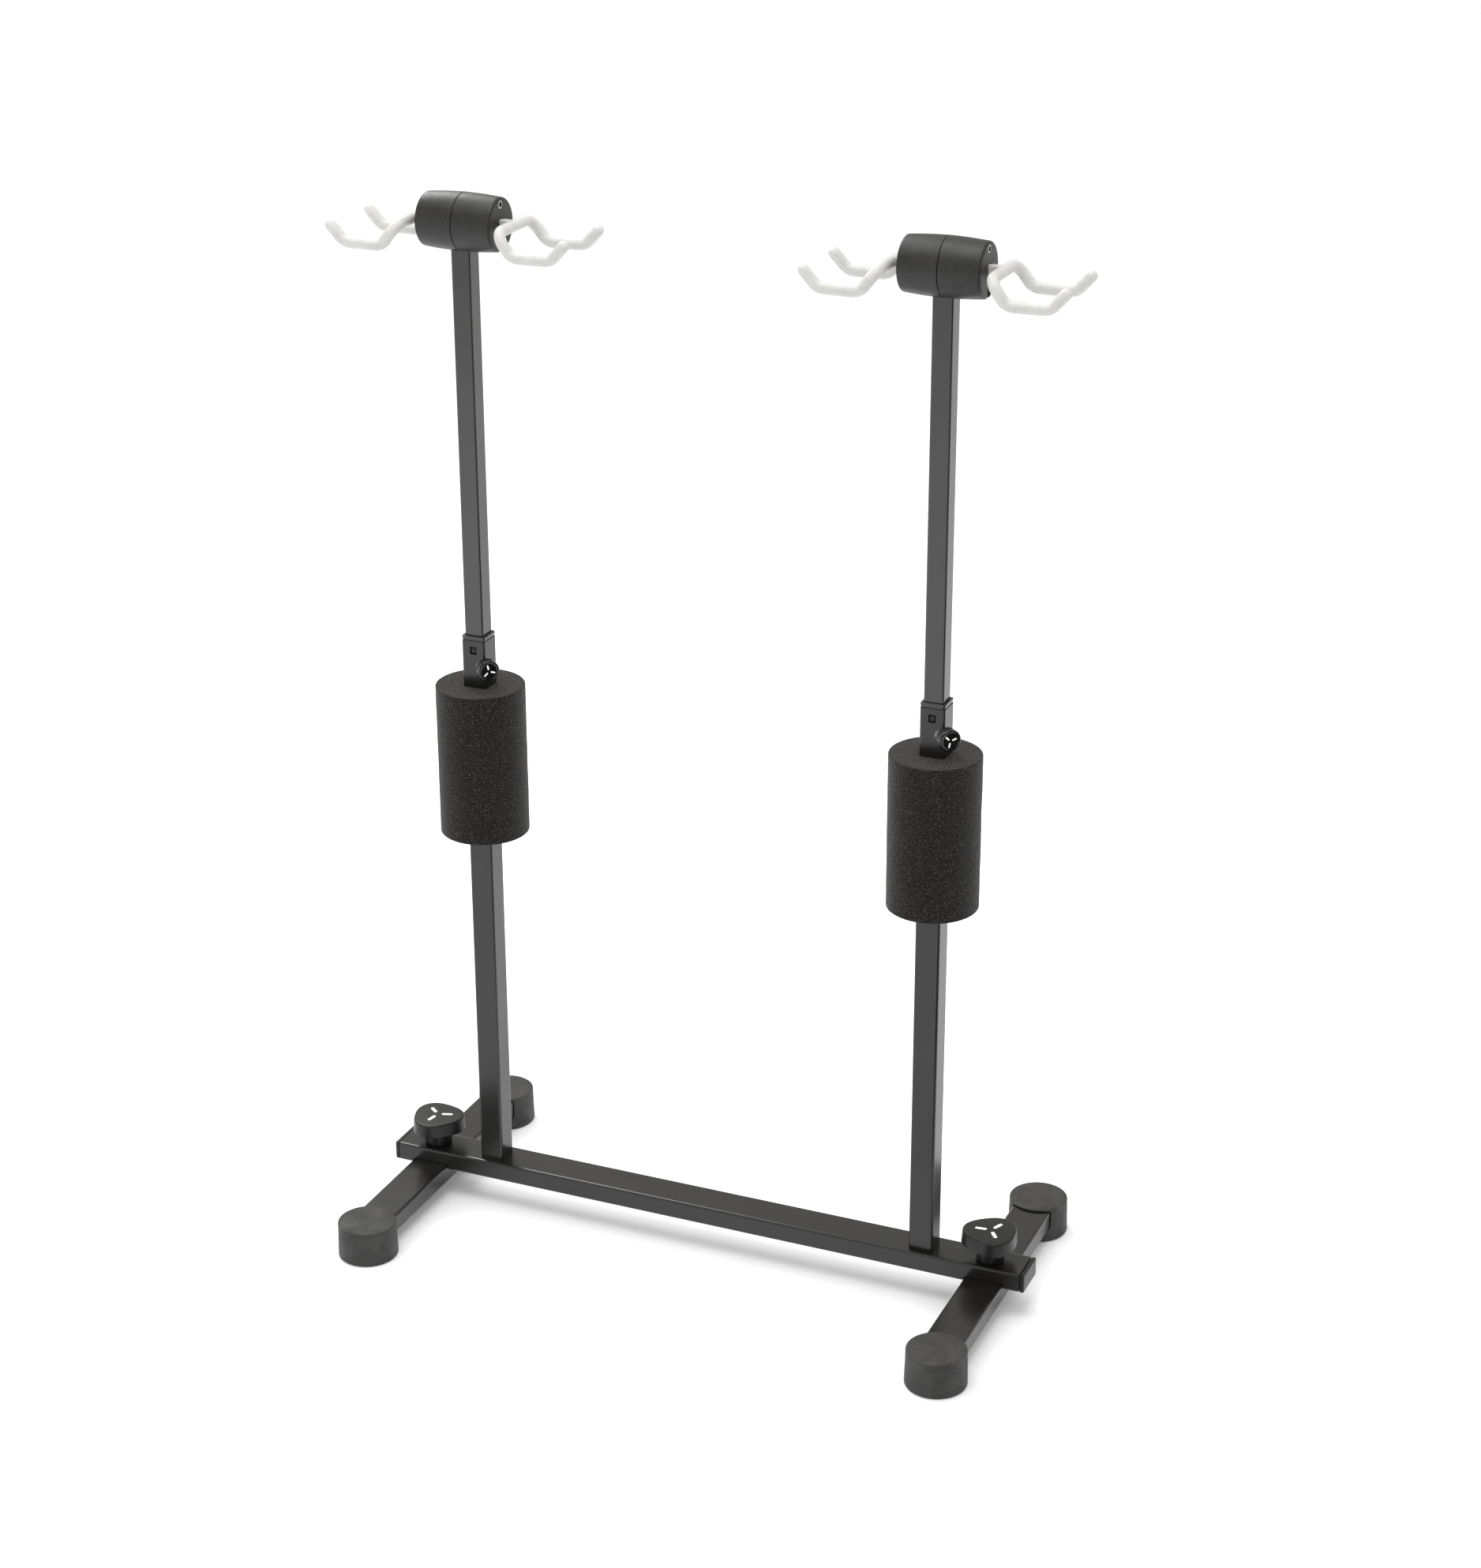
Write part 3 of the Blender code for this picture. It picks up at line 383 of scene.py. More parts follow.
def moulded_plastic(name, shades, roughness, grain, depth, gloss):
    """Moulded plastic with a spark-eroded grain, painted shade in its pits, and light rubbing marks."""
    made, tree, shader, place = new_finish(name)
    clouds = noise_at(tree, place, 0.012, 5.0, 0.6)
    pits = noise_at(tree, place, grain, 3.0, 0.6)
    base = blended(tree, ranged(tree, clouds, 0.35, 0.7, 0.0, 1.0), *shades)
    # Darker where the grain's bump is low: painted shade in the pits
    coloured = blended(tree, ranged(tree, pits, 0.35, 0.65, 0.5, 0.0), base, GRAIN_PIT_SHADE)
    tree.links.new(coloured, shader.inputs["Base Color"])
    rubbed = noise_at(tree, stretched(tree, place, (1.0, 1.0, 2.5)), 0.008, 4.0, 0.7)
    tree.links.new(
        ranged(tree, rubbed, 0.3, 0.75, roughness + 0.05, roughness - 0.07), shader.inputs["Roughness"]
    )
    tree.links.new(bump(tree, pits, depth, soft_edges(tree, 0.0003)), shader.inputs["Normal"])
    set_inputs(shader, IOR=1.5, Specular_IOR_Level=gloss)
    return made


def foot_rubber():
    """Matt moulded rubber with a dusty bloom and faint scuffs."""
    made, tree, shader, place = new_finish("foot_rubber_look")
    clouds = noise_at(tree, place, 0.020, 6.0, 0.62)
    scuffs = noise_at(tree, stretched(tree, place, (1.0, 3.0, 1.0)), 0.006, 6.0, 0.75)
    base = blended(tree, ranged(tree, clouds, 0.38, 0.68, 0.0, 1.0), *RUBBER_SHADES)
    coloured = blended(tree, ranged(tree, scuffs, 0.6, 0.8, 0.0, 0.5), base, RUBBER_SCUFF)
    tree.links.new(coloured, shader.inputs["Base Color"])
    tree.links.new(ranged(tree, clouds, 0.3, 0.7, 0.68, 0.55), shader.inputs["Roughness"])
    grain = noise_at(tree, place, 0.0006, 3.0, 0.6)
    waves = bump(tree, noise_at(tree, place, 0.006, 2.0), 0.00006)
    tree.links.new(bump(tree, grain, 0.00003, waves), shader.inputs["Normal"])
    set_inputs(shader, IOR=1.45)
    return made


def open_cell_foam():
    """Charcoal open-cell foam: small cells, with painted highlights on the raised strands and painted shade
    in the pits.
    """
    made, tree, shader, place = new_finish("foam_look")
    cell_size = 0.0013
    crumb_size = 0.00117
    cells = add(
        tree, "ShaderNodeTexVoronoi", {"feature": "F1"}, Vector=place, Scale=1 / cell_size, Randomness=1.0
    ).outputs["Distance"]
    crumbs = noise_at(tree, place, crumb_size, 2.0, 0.72)
    clouds = noise_at(tree, place, 0.03, 4.0, 0.6)
    base = blended(tree, ranged(tree, clouds, 0.3, 0.7, 0.0, 1.0), *FOAM_SHADES)
    # Darker where the cells' bump is low: painted shade in the pits
    pit_shaded = blended(tree, ranged(tree, cells, 0.45, 0.75, 0.0, 0.8), base, FOAM_PIT_SHADE)
    # Lighter where the crumbs' bump is high: painted highlights on the strands
    strand_highlighted = blended(tree, ranged(tree, crumbs, 0.56, 0.68, 0.0, 0.75), pit_shaded, FOAM_STRAND_HIGHLIGHT)
    tree.links.new(strand_highlighted, shader.inputs["Base Color"])
    tree.links.new(ranged(tree, crumbs, 0.3, 0.7, 1.0, 0.85), shader.inputs["Roughness"])
    coarse = bump(tree, cells, -0.0004)
    tree.links.new(bump(tree, crumbs, 0.0005, coarse), shader.inputs["Normal"])
    set_inputs(shader, IOR=1.35, Specular_IOR_Level=0.15, Sheen_Weight=0.16, Sheen_Roughness=0.45)
    return made


def milky_sleeve():
    """Milky soft plastic that lets the steel wire show as a faint grey core."""
    made, tree, shader, place = new_finish("milky_plastic_look")
    clouds = noise_at(tree, place, 0.012, 4.0, 0.6)
    grain = noise_at(tree, place, 0.0009, 3.0, 0.6)
    base = blended(tree, ranged(tree, clouds, 0.35, 0.65, 0.0, 1.0), *MILKY_SHADES)
    smudged = blended(tree, ranged(tree, grain, 0.62, 0.78, 0.0, 0.25), base, MILKY_SMUDGE)
    tree.links.new(smudged, shader.inputs["Base Color"])
    tree.links.new(ranged(tree, clouds, 0.3, 0.7, 0.34, 0.46), shader.inputs["Roughness"])
    tree.links.new(bump(tree, grain, 0.00003), shader.inputs["Normal"])
    set_inputs(
        shader, IOR=1.45, Alpha=0.80, Subsurface_Weight=0.30, Subsurface_Scale=0.004,
        Subsurface_Radius=(1.0, 1.0, 0.95),
    )
    return made


def zinc_steel():
    """Bright zinc plate with fine drawing lines and dull patches."""
    made, tree, shader, place = new_finish("zinc_steel_look")
    clouds = noise_at(tree, place, 0.006, 5.0, 0.65)
    lines = noise_at(tree, stretched(tree, place, (1.0, 1.0, 12.0)), 0.004, 4.0, 0.6)
    base = blended(tree, ranged(tree, clouds, 0.3, 0.7, 0.0, 1.0), *ZINC_SHADES)
    tree.links.new(base, shader.inputs["Base Color"])
    tree.links.new(ranged(tree, clouds, 0.3, 0.7, 0.42, 0.28), shader.inputs["Roughness"])
    tree.links.new(bump(tree, lines, 0.00001, soft_edges(tree, 0.0002)), shader.inputs["Normal"])
    set_inputs(shader, Metallic=1.0)
    return made


def printed_white():
    """Slightly worn white pad print."""
    made, tree, shader, place = new_finish("printed_white_look")
    wear = noise_at(tree, place, 0.0012, 4.0, 0.7)
    base = blended(tree, ranged(tree, wear, 0.58, 0.75, 0.0, 0.6), *PRINT_SHADES)
    tree.links.new(base, shader.inputs["Base Color"])
    tree.links.new(ranged(tree, wear, 0.3, 0.7, 0.4, 0.55), shader.inputs["Roughness"])
    tree.links.new(bump(tree, wear, 0.00002), shader.inputs["Normal"])
    return made


def make_finishes():
    """The finish of each slot, and two that only pieces made here use."""
    return {
        "powder_coated_steel": coated_steel("powder_coat_look", COAT_SHADES, roughness=0.24, edge=0.0004),
        "inner_tube_black": coated_steel(
            "inner_tube_look", INNER_TUBE_SHADES, roughness=0.18, edge=0.0004, index=1.62
        ),
        "black_plastic": moulded_plastic(
            "black_plastic_look", BLACK_SHADES, roughness=0.38, grain=0.0005, depth=0.00002, gloss=0.32
        ),
        "glossy_plastic": moulded_plastic(
            "glossy_plastic_look", GLOSSY_SHADES, roughness=0.17, grain=0.0006, depth=0.000004, gloss=0.7
        ),
        "head_plastic": moulded_plastic(
            "head_plastic_look", HEAD_SHADES, roughness=0.46, grain=0.0007, depth=0.00005, gloss=0.42
        ),
        # Painted shade: the near-black of the plates in the tie screw's socket and behind the bush's tab
        "painted_shade_black": moulded_plastic(
            "painted_shade_look", PAINTED_SHADE_BLACKS, roughness=0.8, grain=0.0005, depth=0.00002, gloss=0.05
        ),
        "foot_rubber": foot_rubber(),
        "foam": open_cell_foam(),
        "zinc_steel": zinc_steel(),
        "milky_plastic": milky_sleeve(),
        "print": printed_white(),
    }


# ---------------------------------------------------------------- mesh tools


def arc(centre, radius, start, end, steps):
    """Points on an arc, angles in degrees."""
    angles = [math.radians(start + (end - start) * i / steps) for i in range(steps + 1)]
    return [(centre[0] + radius * math.cos(a), centre[1] + radius * math.sin(a)) for a in angles]


def turns(count):
    """Equal angles round a circle, in radians."""
    return [2 * math.pi * index / count for index in range(count)]


def clean(obj, sharp):
    """Welds the mesh, turns its faces out and shades it smooth up to a sharp angle in degrees."""
    shape = bmesh.new()
    shape.from_mesh(obj.data)
    bmesh.ops.remove_doubles(shape, verts=shape.verts, dist=TINY)
    bmesh.ops.recalc_face_normals(shape, faces=shape.faces)
    shape.to_mesh(obj.data)
    shape.free()
    obj.data.shade_smooth()
    obj.data.set_sharp_from_angle(angle=math.radians(sharp))
    return obj


def wide(ring):
    """Whether a ring is open, not drawn together to a point."""
    return (Vector(ring[0]) - Vector(ring[len(ring) // 2])).length > 10 * TINY


def skin(name, rings, loop=False, sharp=35):
    """A closed surface through rings of equally many points; loop joins the last to the first."""
    count = len(rings[0])
    faces = []
    for level in range(len(rings) if loop else len(rings) - 1):
        low = level * count
        high = (level + 1) % len(rings) * count
        for index in range(count):
            after = (index + 1) % count
            faces.append((low + index, low + after, high + after, high + index))
    if not loop:
        for first, ring in ((0, rings[0]), ((len(rings) - 1) * count, rings[-1])):
            if wide(ring):
                faces.append(tuple(range(first, first + count)))
    data = bpy.data.meshes.new(name)
    data.from_pydata([tuple(point) for ring in rings for point in ring], [], faces)
    obj = bpy.data.objects.new(name, data)
    bpy.context.scene.collection.objects.link(obj)
    return clean(obj, sharp)


def along(centre, axis):
    """Places local +Z along an axis, at a centre."""
    turn = Vector(axis).normalized().to_track_quat("Z", "Y").to_matrix().to_4x4()
    return Matrix.Translation(centre) @ turn


def lathe(name, profile, place, steps):
    """Turns a profile of (radius, height) about the local Z of a place."""
    rings = [
        [place @ Vector((radius * math.cos(a), radius * math.sin(a), height)) for a in turns(steps)]
        for radius, height in profile
    ]
    return skin(name, rings)


def rectangle(width, height, corner, steps=4):
    """Points round a rectangle with rounded corners."""
    x = width / 2 - corner
    y = height / 2 - corner
    points = []
    for centre, start in (((x, y), 0), ((-x, y), 90), ((-x, -y), 180), ((x, -y), 270)):
        points += arc(centre, corner, start, start + 90, steps)
    return points


def bar(name, outline, length, place, edge=0.0):
    """A flat outline made length long along the local Z of a place, its ends centred on it."""
    ends = [(-length / 2, edge), (-length / 2 + edge, 0.0), (length / 2 - edge, 0.0), (length / 2, edge)]
    reach = max(max(abs(x), abs(y)) for x, y in outline)
    rings = []
    for height, inset in ends if edge else (ends[0], ends[3]):
        shrink = 1 - inset / reach
        rings.append([place @ Vector((x * shrink, y * shrink, height)) for x, y in outline])
    return skin(name, rings)


def swept(name, path, radii, sides=32):
    """A round rod along a path; the section is carried along without twist."""
    rings = []
    ahead = (path[1] - path[0]).normalized()
    across = ahead.orthogonal().normalized()
    for index, point in enumerate(path):
        before = path[max(index - 1, 0)]
        after = path[min(index + 1, len(path) - 1)]
        direction = (after - before).normalized()
        across = (across - direction * across.dot(direction)).normalized()
        up = direction.cross(across)
        radius = radii[index]
        rings.append([point + (across * math.cos(a) + up * math.sin(a)) * radius for a in turns(sides)])
    return skin(name, rings, sharp=60)


def baked(obj):
    """Applies an object's modifiers."""
    graph = bpy.context.evaluated_depsgraph_get()
    data = bpy.data.meshes.new_from_object(obj.evaluated_get(graph))
    obj.modifiers.clear()
    obj.data = data
    return obj


def combine(obj, other, operation, sharp=35):
    """Joins another shape to an object or cuts it away, and removes that shape."""
    boolean = obj.modifiers.new(operation, "BOOLEAN")
    boolean.operation = operation
    boolean.solver = "EXACT"
    boolean.object = other
    baked(obj)
    bpy.data.objects.remove(other, do_unlink=True)
    return clean(obj, sharp)


def finish_piece(obj, body, slot, look, *nodes):
    """Gives a piece its material and its body, and hides the CAD nodes it stands for. The slot is not used.
    """
    obj.data.materials.clear()
    obj.data.materials.append(look)
    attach(obj, body)
    if nodes:
        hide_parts(*nodes)
    return obj


# ---------------------------------------------------------------- pieces


def squarish(half, angle):
    """Radius of a square with softened corners, at an angle."""
    total = abs(math.cos(angle)) ** BORE_POWER + abs(math.sin(angle)) ** BORE_POWER
    return half / total ** (1 / BORE_POWER)


def make_foam_roll(side):
    """A foam sleeve on the square post: crisp cut ends and a faintly uneven skin."""
    node = f"foam_roll_{side}"
    low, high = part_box(node)
    tube_low, tube_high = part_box(f"post_outer_tube_{side}")
    centre = (low + high) / 2
    radius = (high.x - low.x) / 2 - FOAM_INSET
    hole = (tube_high.x - tube_low.x) / 2 + GAP
    edge = FOAM_EDGE
    # Each row is (share of the way from bore to skin, reach, height)
    section = [(0.0, hole, low.z), (0.0, hole, high.z)]
    section += [(share, radius - edge, high.z) for share in FOAM_TOP_SHARES]
    section += [(1.0, r, z) for r, z in arc((radius - edge, high.z - edge), edge, 90, 0, 4)]
    for index in range(1, FOAM_LEVELS):
        section.append((1.0, radius, high.z - edge - (high.z - low.z - 2 * edge) * index / FOAM_LEVELS))
    section += [(1.0, r, z) for r, z in arc((radius - edge, low.z + edge), edge, 0, -90, 4)]
    section += [(share, radius - edge, low.z) for share in FOAM_BOTTOM_SHARES]
    rings = []
    for share, reach, height in section:
        ring = []
        for angle in turns(FOAM_STEPS):
            distance = squarish(hole, angle) * (1 - share) + reach * share
            point = Vector((distance * math.cos(angle), distance * math.sin(angle), height))
            waves = noise.noise(point * FOAM_WAVES[0] + centre * FOAM_SEED) * FOAM_WAVES[1]
            cells = noise.noise(point * FOAM_CELLS[0]) * FOAM_CELLS[1]
            outward = min(share * 2, 1.0) * (waves + cells - FOAM_SHRINK)
            point.x += math.cos(angle) * outward
            point.y += math.sin(angle) * outward
            ring.append((centre.x + point.x, centre.y + point.y, point.z))
        rings.append(ring)
    roll = skin(f"foam_sleeve_{side}", rings, loop=True, sharp=50)
    finish_piece(roll, bodies_of_nodes[node], "foam", finishes["foam"], node)


def make_foot(side, end_name, end):
    """A moulded foot: drafted side, rounded rim, faint crown, and a socket round the leg's end."""
    node = f"foot_{end_name}_{side}"
    low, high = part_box(node)
    leg_low, leg_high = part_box(f"leg_tube_{side}")
    centre = Vector(((low.x + high.x) / 2, (low.y + high.y) / 2, 0))
    radius = (high.x - low.x) / 2
    height = high.z
    profile = [(radius * share, height - drop) for share, drop in FOOT_CROWN]
    rim_centre = (radius - FOOT_DRAFT - FOOT_RIM, height - FOOT_SHOULDER - FOOT_RIM)
    profile += arc(rim_centre, FOOT_RIM, 84, 0, 6)
    profile += [(radius - FOOT_DRAFT / 2, height / 2)]
    profile += arc((radius - FOOT_SOLE, FOOT_SOLE), FOOT_SOLE, 0, -90, 6)
    profile += [(radius - inset, rise) for inset, rise in FOOT_GROOVE]
    profile += [(0.0, 0.0)]
    foot = lathe(f"rubber_{node}", profile, Matrix.Translation(centre), FOOT_STEPS)
    width = leg_high.x - leg_low.x + SOCKET_ROOM
    thickness = leg_high.z - leg_low.z + SOCKET_ROOM
    inner_end = leg_high.y + GAP
    mouth = inner_end - SOCKET_DEPTH
    place = along((centre.x, end * (inner_end + mouth) / 2, (leg_low.z + leg_high.z) / 2), (0, 1, 0))
    outline = rectangle(width, thickness, SOCKET_CORNER)
    socket = bar(f"socket_{node}", outline, inner_end - mouth, place)
    combine(foot, socket, "DIFFERENCE")
    finish_piece(foot, bodies_of_nodes[node], "foot_rubber", finishes["foot_rubber"], node)


def bars_mark(name, place, scale, turn):
    """Three short round-ended bars, a thin raised print."""
    half = MARK_HALF * scale
    end = MARK_END_RADIUS * scale
    outline = arc((half, 0), end, -90, 90, 8) + arc((-half, 0), end, 90, 270, 8)
    bars = []
    for angle in turns(MARK_BARS):
        spin = Matrix.Rotation(turn + angle, 4, "Z")
        shift = Matrix.Translation((MARK_OUT * scale, 0, MARK_THICKNESS / 2))
        bars.append(bar(f"{name}_bar", outline, MARK_THICKNESS, place @ spin @ shift))
    shape = bmesh.new()
    for made in bars:
        shape.from_mesh(made.data)
        bpy.data.objects.remove(made, do_unlink=True)
    data = bpy.data.meshes.new(name)
    shape.to_mesh(data)
    shape.free()
    obj = bpy.data.objects.new(name, data)
    bpy.context.scene.collection.objects.link(obj)
    return clean(obj, 35)


def make_clamp_knob(side):
    """A three-lobed cap with rounded edges and a slight crown, on a round hub."""
    node = f"leg_clamp_knob_{side}"
    low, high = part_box(node)
    foot = low.z
    top = high.z
    bottom = top - KNOB_HEIGHT
    bolt_low, bolt_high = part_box(f"leg_clamp_bolt_{side}")
    centre_x = (bolt_low.x + bolt_high.x) / 2
    turn = KNOB_TURN[side]
    angles = turns(KNOB_STEPS)

    def round_ring(radius, height):
        return [Vector((centre_x + radius * math.cos(a), radius * math.sin(a), height)) for a in angles]

    def lobed_ring(inset, height, share=1.0):
        ring = []
        for a in angles:
            radius = (KNOB_RADIUS + KNOB_LOBE * math.cos(KNOB_LOBES * (a - turn)) - inset) * share
            ring.append(Vector((centre_x + radius * math.cos(a), radius * math.sin(a), height)))
        return ring

    rings = [round_ring(BOLT_BORE, bottom), round_ring(BOLT_BORE, foot)]
    rings += [round_ring(r, z) for r, z in arc((HUB_RADIUS - HUB_EDGE, foot + HUB_EDGE), HUB_EDGE, -90, 0, 4)]
    fillet_centre = (HUB_RADIUS + HUB_FILLET, bottom - HUB_FILLET)
    rings += [round_ring(r, z) for r, z in arc(fillet_centre, HUB_FILLET, 180, 90, 5)]
    rings += [
        lobed_ring(KNOB_UNDER_EDGE - dx, bottom + KNOB_UNDER_EDGE + dz)
        for dx, dz in arc((0, 0), KNOB_UNDER_EDGE, -90, 0, 5)
    ]
    rim = top - KNOB_CROWN
    inset = KNOB_DRAFT + KNOB_EDGE
    rings += [lobed_ring(inset - dx, rim - KNOB_EDGE + dz) for dx, dz in arc((0, 0), KNOB_EDGE, 0, 86, 8)]
    for share in KNOB_CROWN_SHARES:
        rings.append(lobed_ring(inset, rim + KNOB_CROWN * (1 - share * share), share))
    knob = skin(f"clamp_knob_cap_{side}", rings, sharp=40)
    body = bodies_of_nodes[node]
    finish_piece(knob, body, "black_plastic", finishes["black_plastic"], node)
    place = Matrix.Translation((centre_x, 0, top - KNOB_MARK_SINK))
    mark = bars_mark(f"clamp_knob_mark_{side}", place, KNOB_MARK_SCALE, turn)
    finish_piece(mark, body, "milky_plastic", finishes["print"])


def make_thumb_screw(side, sign):
    """A round screw knob: a ribbed grip behind a smooth rim with a shallow dish."""
    node = f"thumb_screw_knob_{side}"
    post_low, post_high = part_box(f"post_outer_tube_{side}")
    axis = Vector(SCREW_AXIS).normalized()
    start = Vector(((post_low.x + post_high.x) / 2, 0, SCREW_Z)) + axis * BOSS_FACE
    place = along(start, axis)
    depth = THUMB_FACE - BOSS_FACE
    grip_end = depth * THUMB_GRIP_SHARE
    rings = []

    def ring(radius, height, ribbed=0.0):
        points = []
        for a in turns(THUMB_RIDGES * STEPS_PER_RIDGE):
            wave = 1 - abs(math.cos(a * THUMB_RIDGES / 2))
            r = radius - THUMB_RIDGE * ribbed * wave
            points.append(place @ Vector((r * math.cos(a), r * math.sin(a), height)))
        rings.append(points)

    ring(THUMB_BORE, depth * THUMB_BORE_SHARE)
    ring(THUMB_BORE, 0.0)
    for inset, height, ribbed in THUMB_BACK:
        ring(THUMB_RADIUS - inset, height, ribbed)
    for index in range(THUMB_GRIP_ROWS + 1):
        height = THUMB_GRIP_START + (grip_end - THUMB_GRIP_LOSS) * index / THUMB_GRIP_ROWS
        ring(THUMB_RADIUS - THUMB_GRIP_INSET, height, 1.0)
    for inset, height, ribbed in THUMB_NECK:
        ring(THUMB_RADIUS - inset, grip_end + height, ribbed)
    back = (THUMB_RADIUS - THUMB_RIM_BACK, grip_end + THUMB_RIM_START + THUMB_RIM_BACK)
    for radius, height in arc(back, THUMB_RIM_BACK, -90, 0, 4):
        ring(radius, height)
    front = (THUMB_RADIUS - THUMB_RIM_FRONT, depth - THUMB_RIM_FRONT)
    for radius, height in arc(front, THUMB_RIM_FRONT, 0, 90, 8):
        ring(radius, height)
    for radius, drop in THUMB_DISH:
        ring(radius, depth - drop)
    knob = skin(f"thumb_screw_grip_{side}", rings, sharp=50)
    body = bodies_of_nodes[node]
    finish_piece(knob, body, "black_plastic", finishes["glossy_plastic"], node)
    mark_place = along(start + axis * (depth - THUMB_MARK_SINK), axis)
    mark = bars_mark(f"thumb_screw_mark_{side}", mark_place, THUMB_MARK_SCALE, THUMB_MARK_TURN * sign)
    finish_piece(mark, body, "milky_plastic", finishes["print"])


def head_centre(side):
    """The centre of a head's barrel."""
    inner_low, inner_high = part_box(f"head_shell_inner_{side}")
    outer_low, outer_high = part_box(f"head_shell_outer_{side}")
    x_values = [inner_low.x, inner_high.x, outer_low.x, outer_high.x]
    return Vector(((min(x_values) + max(x_values)) / 2, 0, (inner_low.z + inner_high.z) / 2))


def half_barrel(name, place, half):
    """A smooth drafted cup, closed at its outer end, half long along the local Z of a place."""
    profile = [(HEAD_END_RADIUS * share, half - drop) for share, drop in HEAD_END_FACE]
    edge_centre = (HEAD_END_RADIUS - HEAD_EDGE, half - HEAD_EDGE - HEAD_END_DROP)
    profile += arc(edge_centre, HEAD_EDGE, 88, 2, 9)
    for share in HEAD_BULGE_SHARES:
        bulge = HEAD_BULGE * math.sin(math.pi * share)
        radius = HEAD_END_RADIUS + (HEAD_SEAM_RADIUS - HEAD_END_RADIUS) * share + bulge
        profile.append((radius, (half - HEAD_EDGE) * (1 - share)))
    profile += [
        (HEAD_SEAM_RADIUS, HEAD_SEAM_GAP + HEAD_SEAM_BREAK),
        (HEAD_SEAM_RADIUS - HEAD_SEAM_BREAK, HEAD_SEAM_GAP),
        (HEAD_SEAM_RADIUS - HEAD_WALL, HEAD_SEAM_GAP),
        (HEAD_END_RADIUS - HEAD_WALL - HEAD_TAPER, half - HEAD_END_WALL),
        (0.0, half - HEAD_END_WALL),
    ]
    return lathe(name, profile, place, HEAD_STEPS)


def make_head_shell(side, name, sign):
    """Half of the barrel, with the fork's slot, the post's hole, the tie screw's recess and a pit."""
    node = f"head_shell_{name}_{side}"
    low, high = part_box(node)
    centre = head_centre(side)
    half = max(abs(low.x - centre.x), abs(high.x - centre.x))
    shell = half_barrel(f"barrel_{name}_{side}", along(centre, (sign, 0, 0)), half)

    slot_bottom = -HEAD_SEAM_RADIUS - SLOT_PAST
    slot_height = SLOT_TOP - slot_bottom
    slot_centre = Vector((sign * (half - HEAD_END_WALL / 2), 0, slot_bottom + slot_height / 2))
    outline = rectangle(2 * SLOT_HALF, slot_height, SLOT_CORNER)
    slot = bar(f"slot_{node}", outline, HEAD_END_WALL + SLOT_REACH, along(centre + slot_centre, (1, 0, 0)))
    combine(shell, slot, "DIFFERENCE")

    post_low, post_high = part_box(f"post_inner_tube_{side}")
    side_length = post_high.x - post_low.x + 2 * GAP
    hole_place = Matrix.Translation(centre + Vector((0, 0, -HEAD_SEAM_RADIUS)))
    outline = rectangle(side_length, side_length, POST_HOLE_CORNER)
    combine(shell, bar(f"hole_{node}", outline, POST_HOLE_LENGTH, hole_place), "DIFFERENCE")

    recess_profile = [
        (0.0, -RECESS_DEPTH),
        (TIE_RADIUS + RECESS_ROOM, -RECESS_DEPTH),
        (TIE_RADIUS + RECESS_MOUTH, RECESS_REACH),
        (0.0, RECESS_REACH),
    ]
    recess_place = along(centre + Vector((sign * half, 0, TIE_HEIGHT)), (sign, 0, 0))
    combine(shell, lathe(f"recess_{node}", recess_profile, recess_place, TIE_STEPS), "DIFFERENCE")

    pit_axis = Vector((0, -math.cos(PIT_ANGLE), math.sin(PIT_ANGLE)))
    pit_place = along(centre + Vector((sign * PIT_OUT, 0, 0)) + pit_axis * PIT_RADIUS, pit_axis)
    combine(shell, lathe(f"pit_{node}", PIT_PROFILE, pit_place, PIT_STEPS), "DIFFERENCE")

    finish_piece(shell, bodies_of_nodes[node], "head_plastic", finishes["head_plastic"], node)
    tie = "head_tie_screw" if sign > 0 else "head_tie_nut"
    make_tie_head(side, name, recess_place, f"{tie}_{side}")


def make_tie_head(side, name, place, node):
    """The visible head of the tie screw, with a hexagonal socket and a near-black plate at its floor, painted
    shade.
    """
    under = TIE_UNDER - RECESS_DEPTH
    profile = [(0.0, TIE_TOP), (TIE_RADIUS - TIE_EDGE, TIE_TOP)]
    profile += arc((TIE_RADIUS - TIE_EDGE, TIE_TOP - TIE_EDGE), TIE_EDGE, 75, 0, 4)
    profile += [(TIE_RADIUS, under), (0.0, under)]
    head = lathe(f"tie_head_{name}_{side}", profile, place, TIE_STEPS)
    hexagon = [(TIE_SOCKET * math.cos(a), TIE_SOCKET * math.sin(a)) for a in turns(6)]
    socket_place = place @ Matrix.Translation((0, 0, TIE_TOP))
    combine(head, bar(f"hex_{name}_{side}", hexagon, TIE_SOCKET_LENGTH, socket_place), "DIFFERENCE")
    finish_piece(head, f"head_{side}", "zinc_steel", finishes["zinc_steel"], node)
    # Painted shade: a near-black plate at the socket's floor
    shade_plate_place = place @ Matrix.Translation((0, 0, TIE_TOP - TIE_SHADE_PLATE_SINK))
    shade_plate = bar(f"tie_socket_shade_{name}_{side}", hexagon, TIE_SHADE_PLATE, shade_plate_place)
    finish_piece(shade_plate, f"head_{side}", "zinc_steel", finishes["painted_shade_black"])


def fork_corners():
    """The fork's corner points in the barrel's frame, from the front tip to the rear tip."""
    half = [FORK_TIP, FORK_FAR, FORK_LOW, (YOKE_OUT, 0)]
    front = [Vector((out, -FORK_HALF_GAP, height)) for out, height in half]
    rear = [Vector((out, FORK_HALF_GAP, height)) for out, height in reversed(half)]
    return front + rear


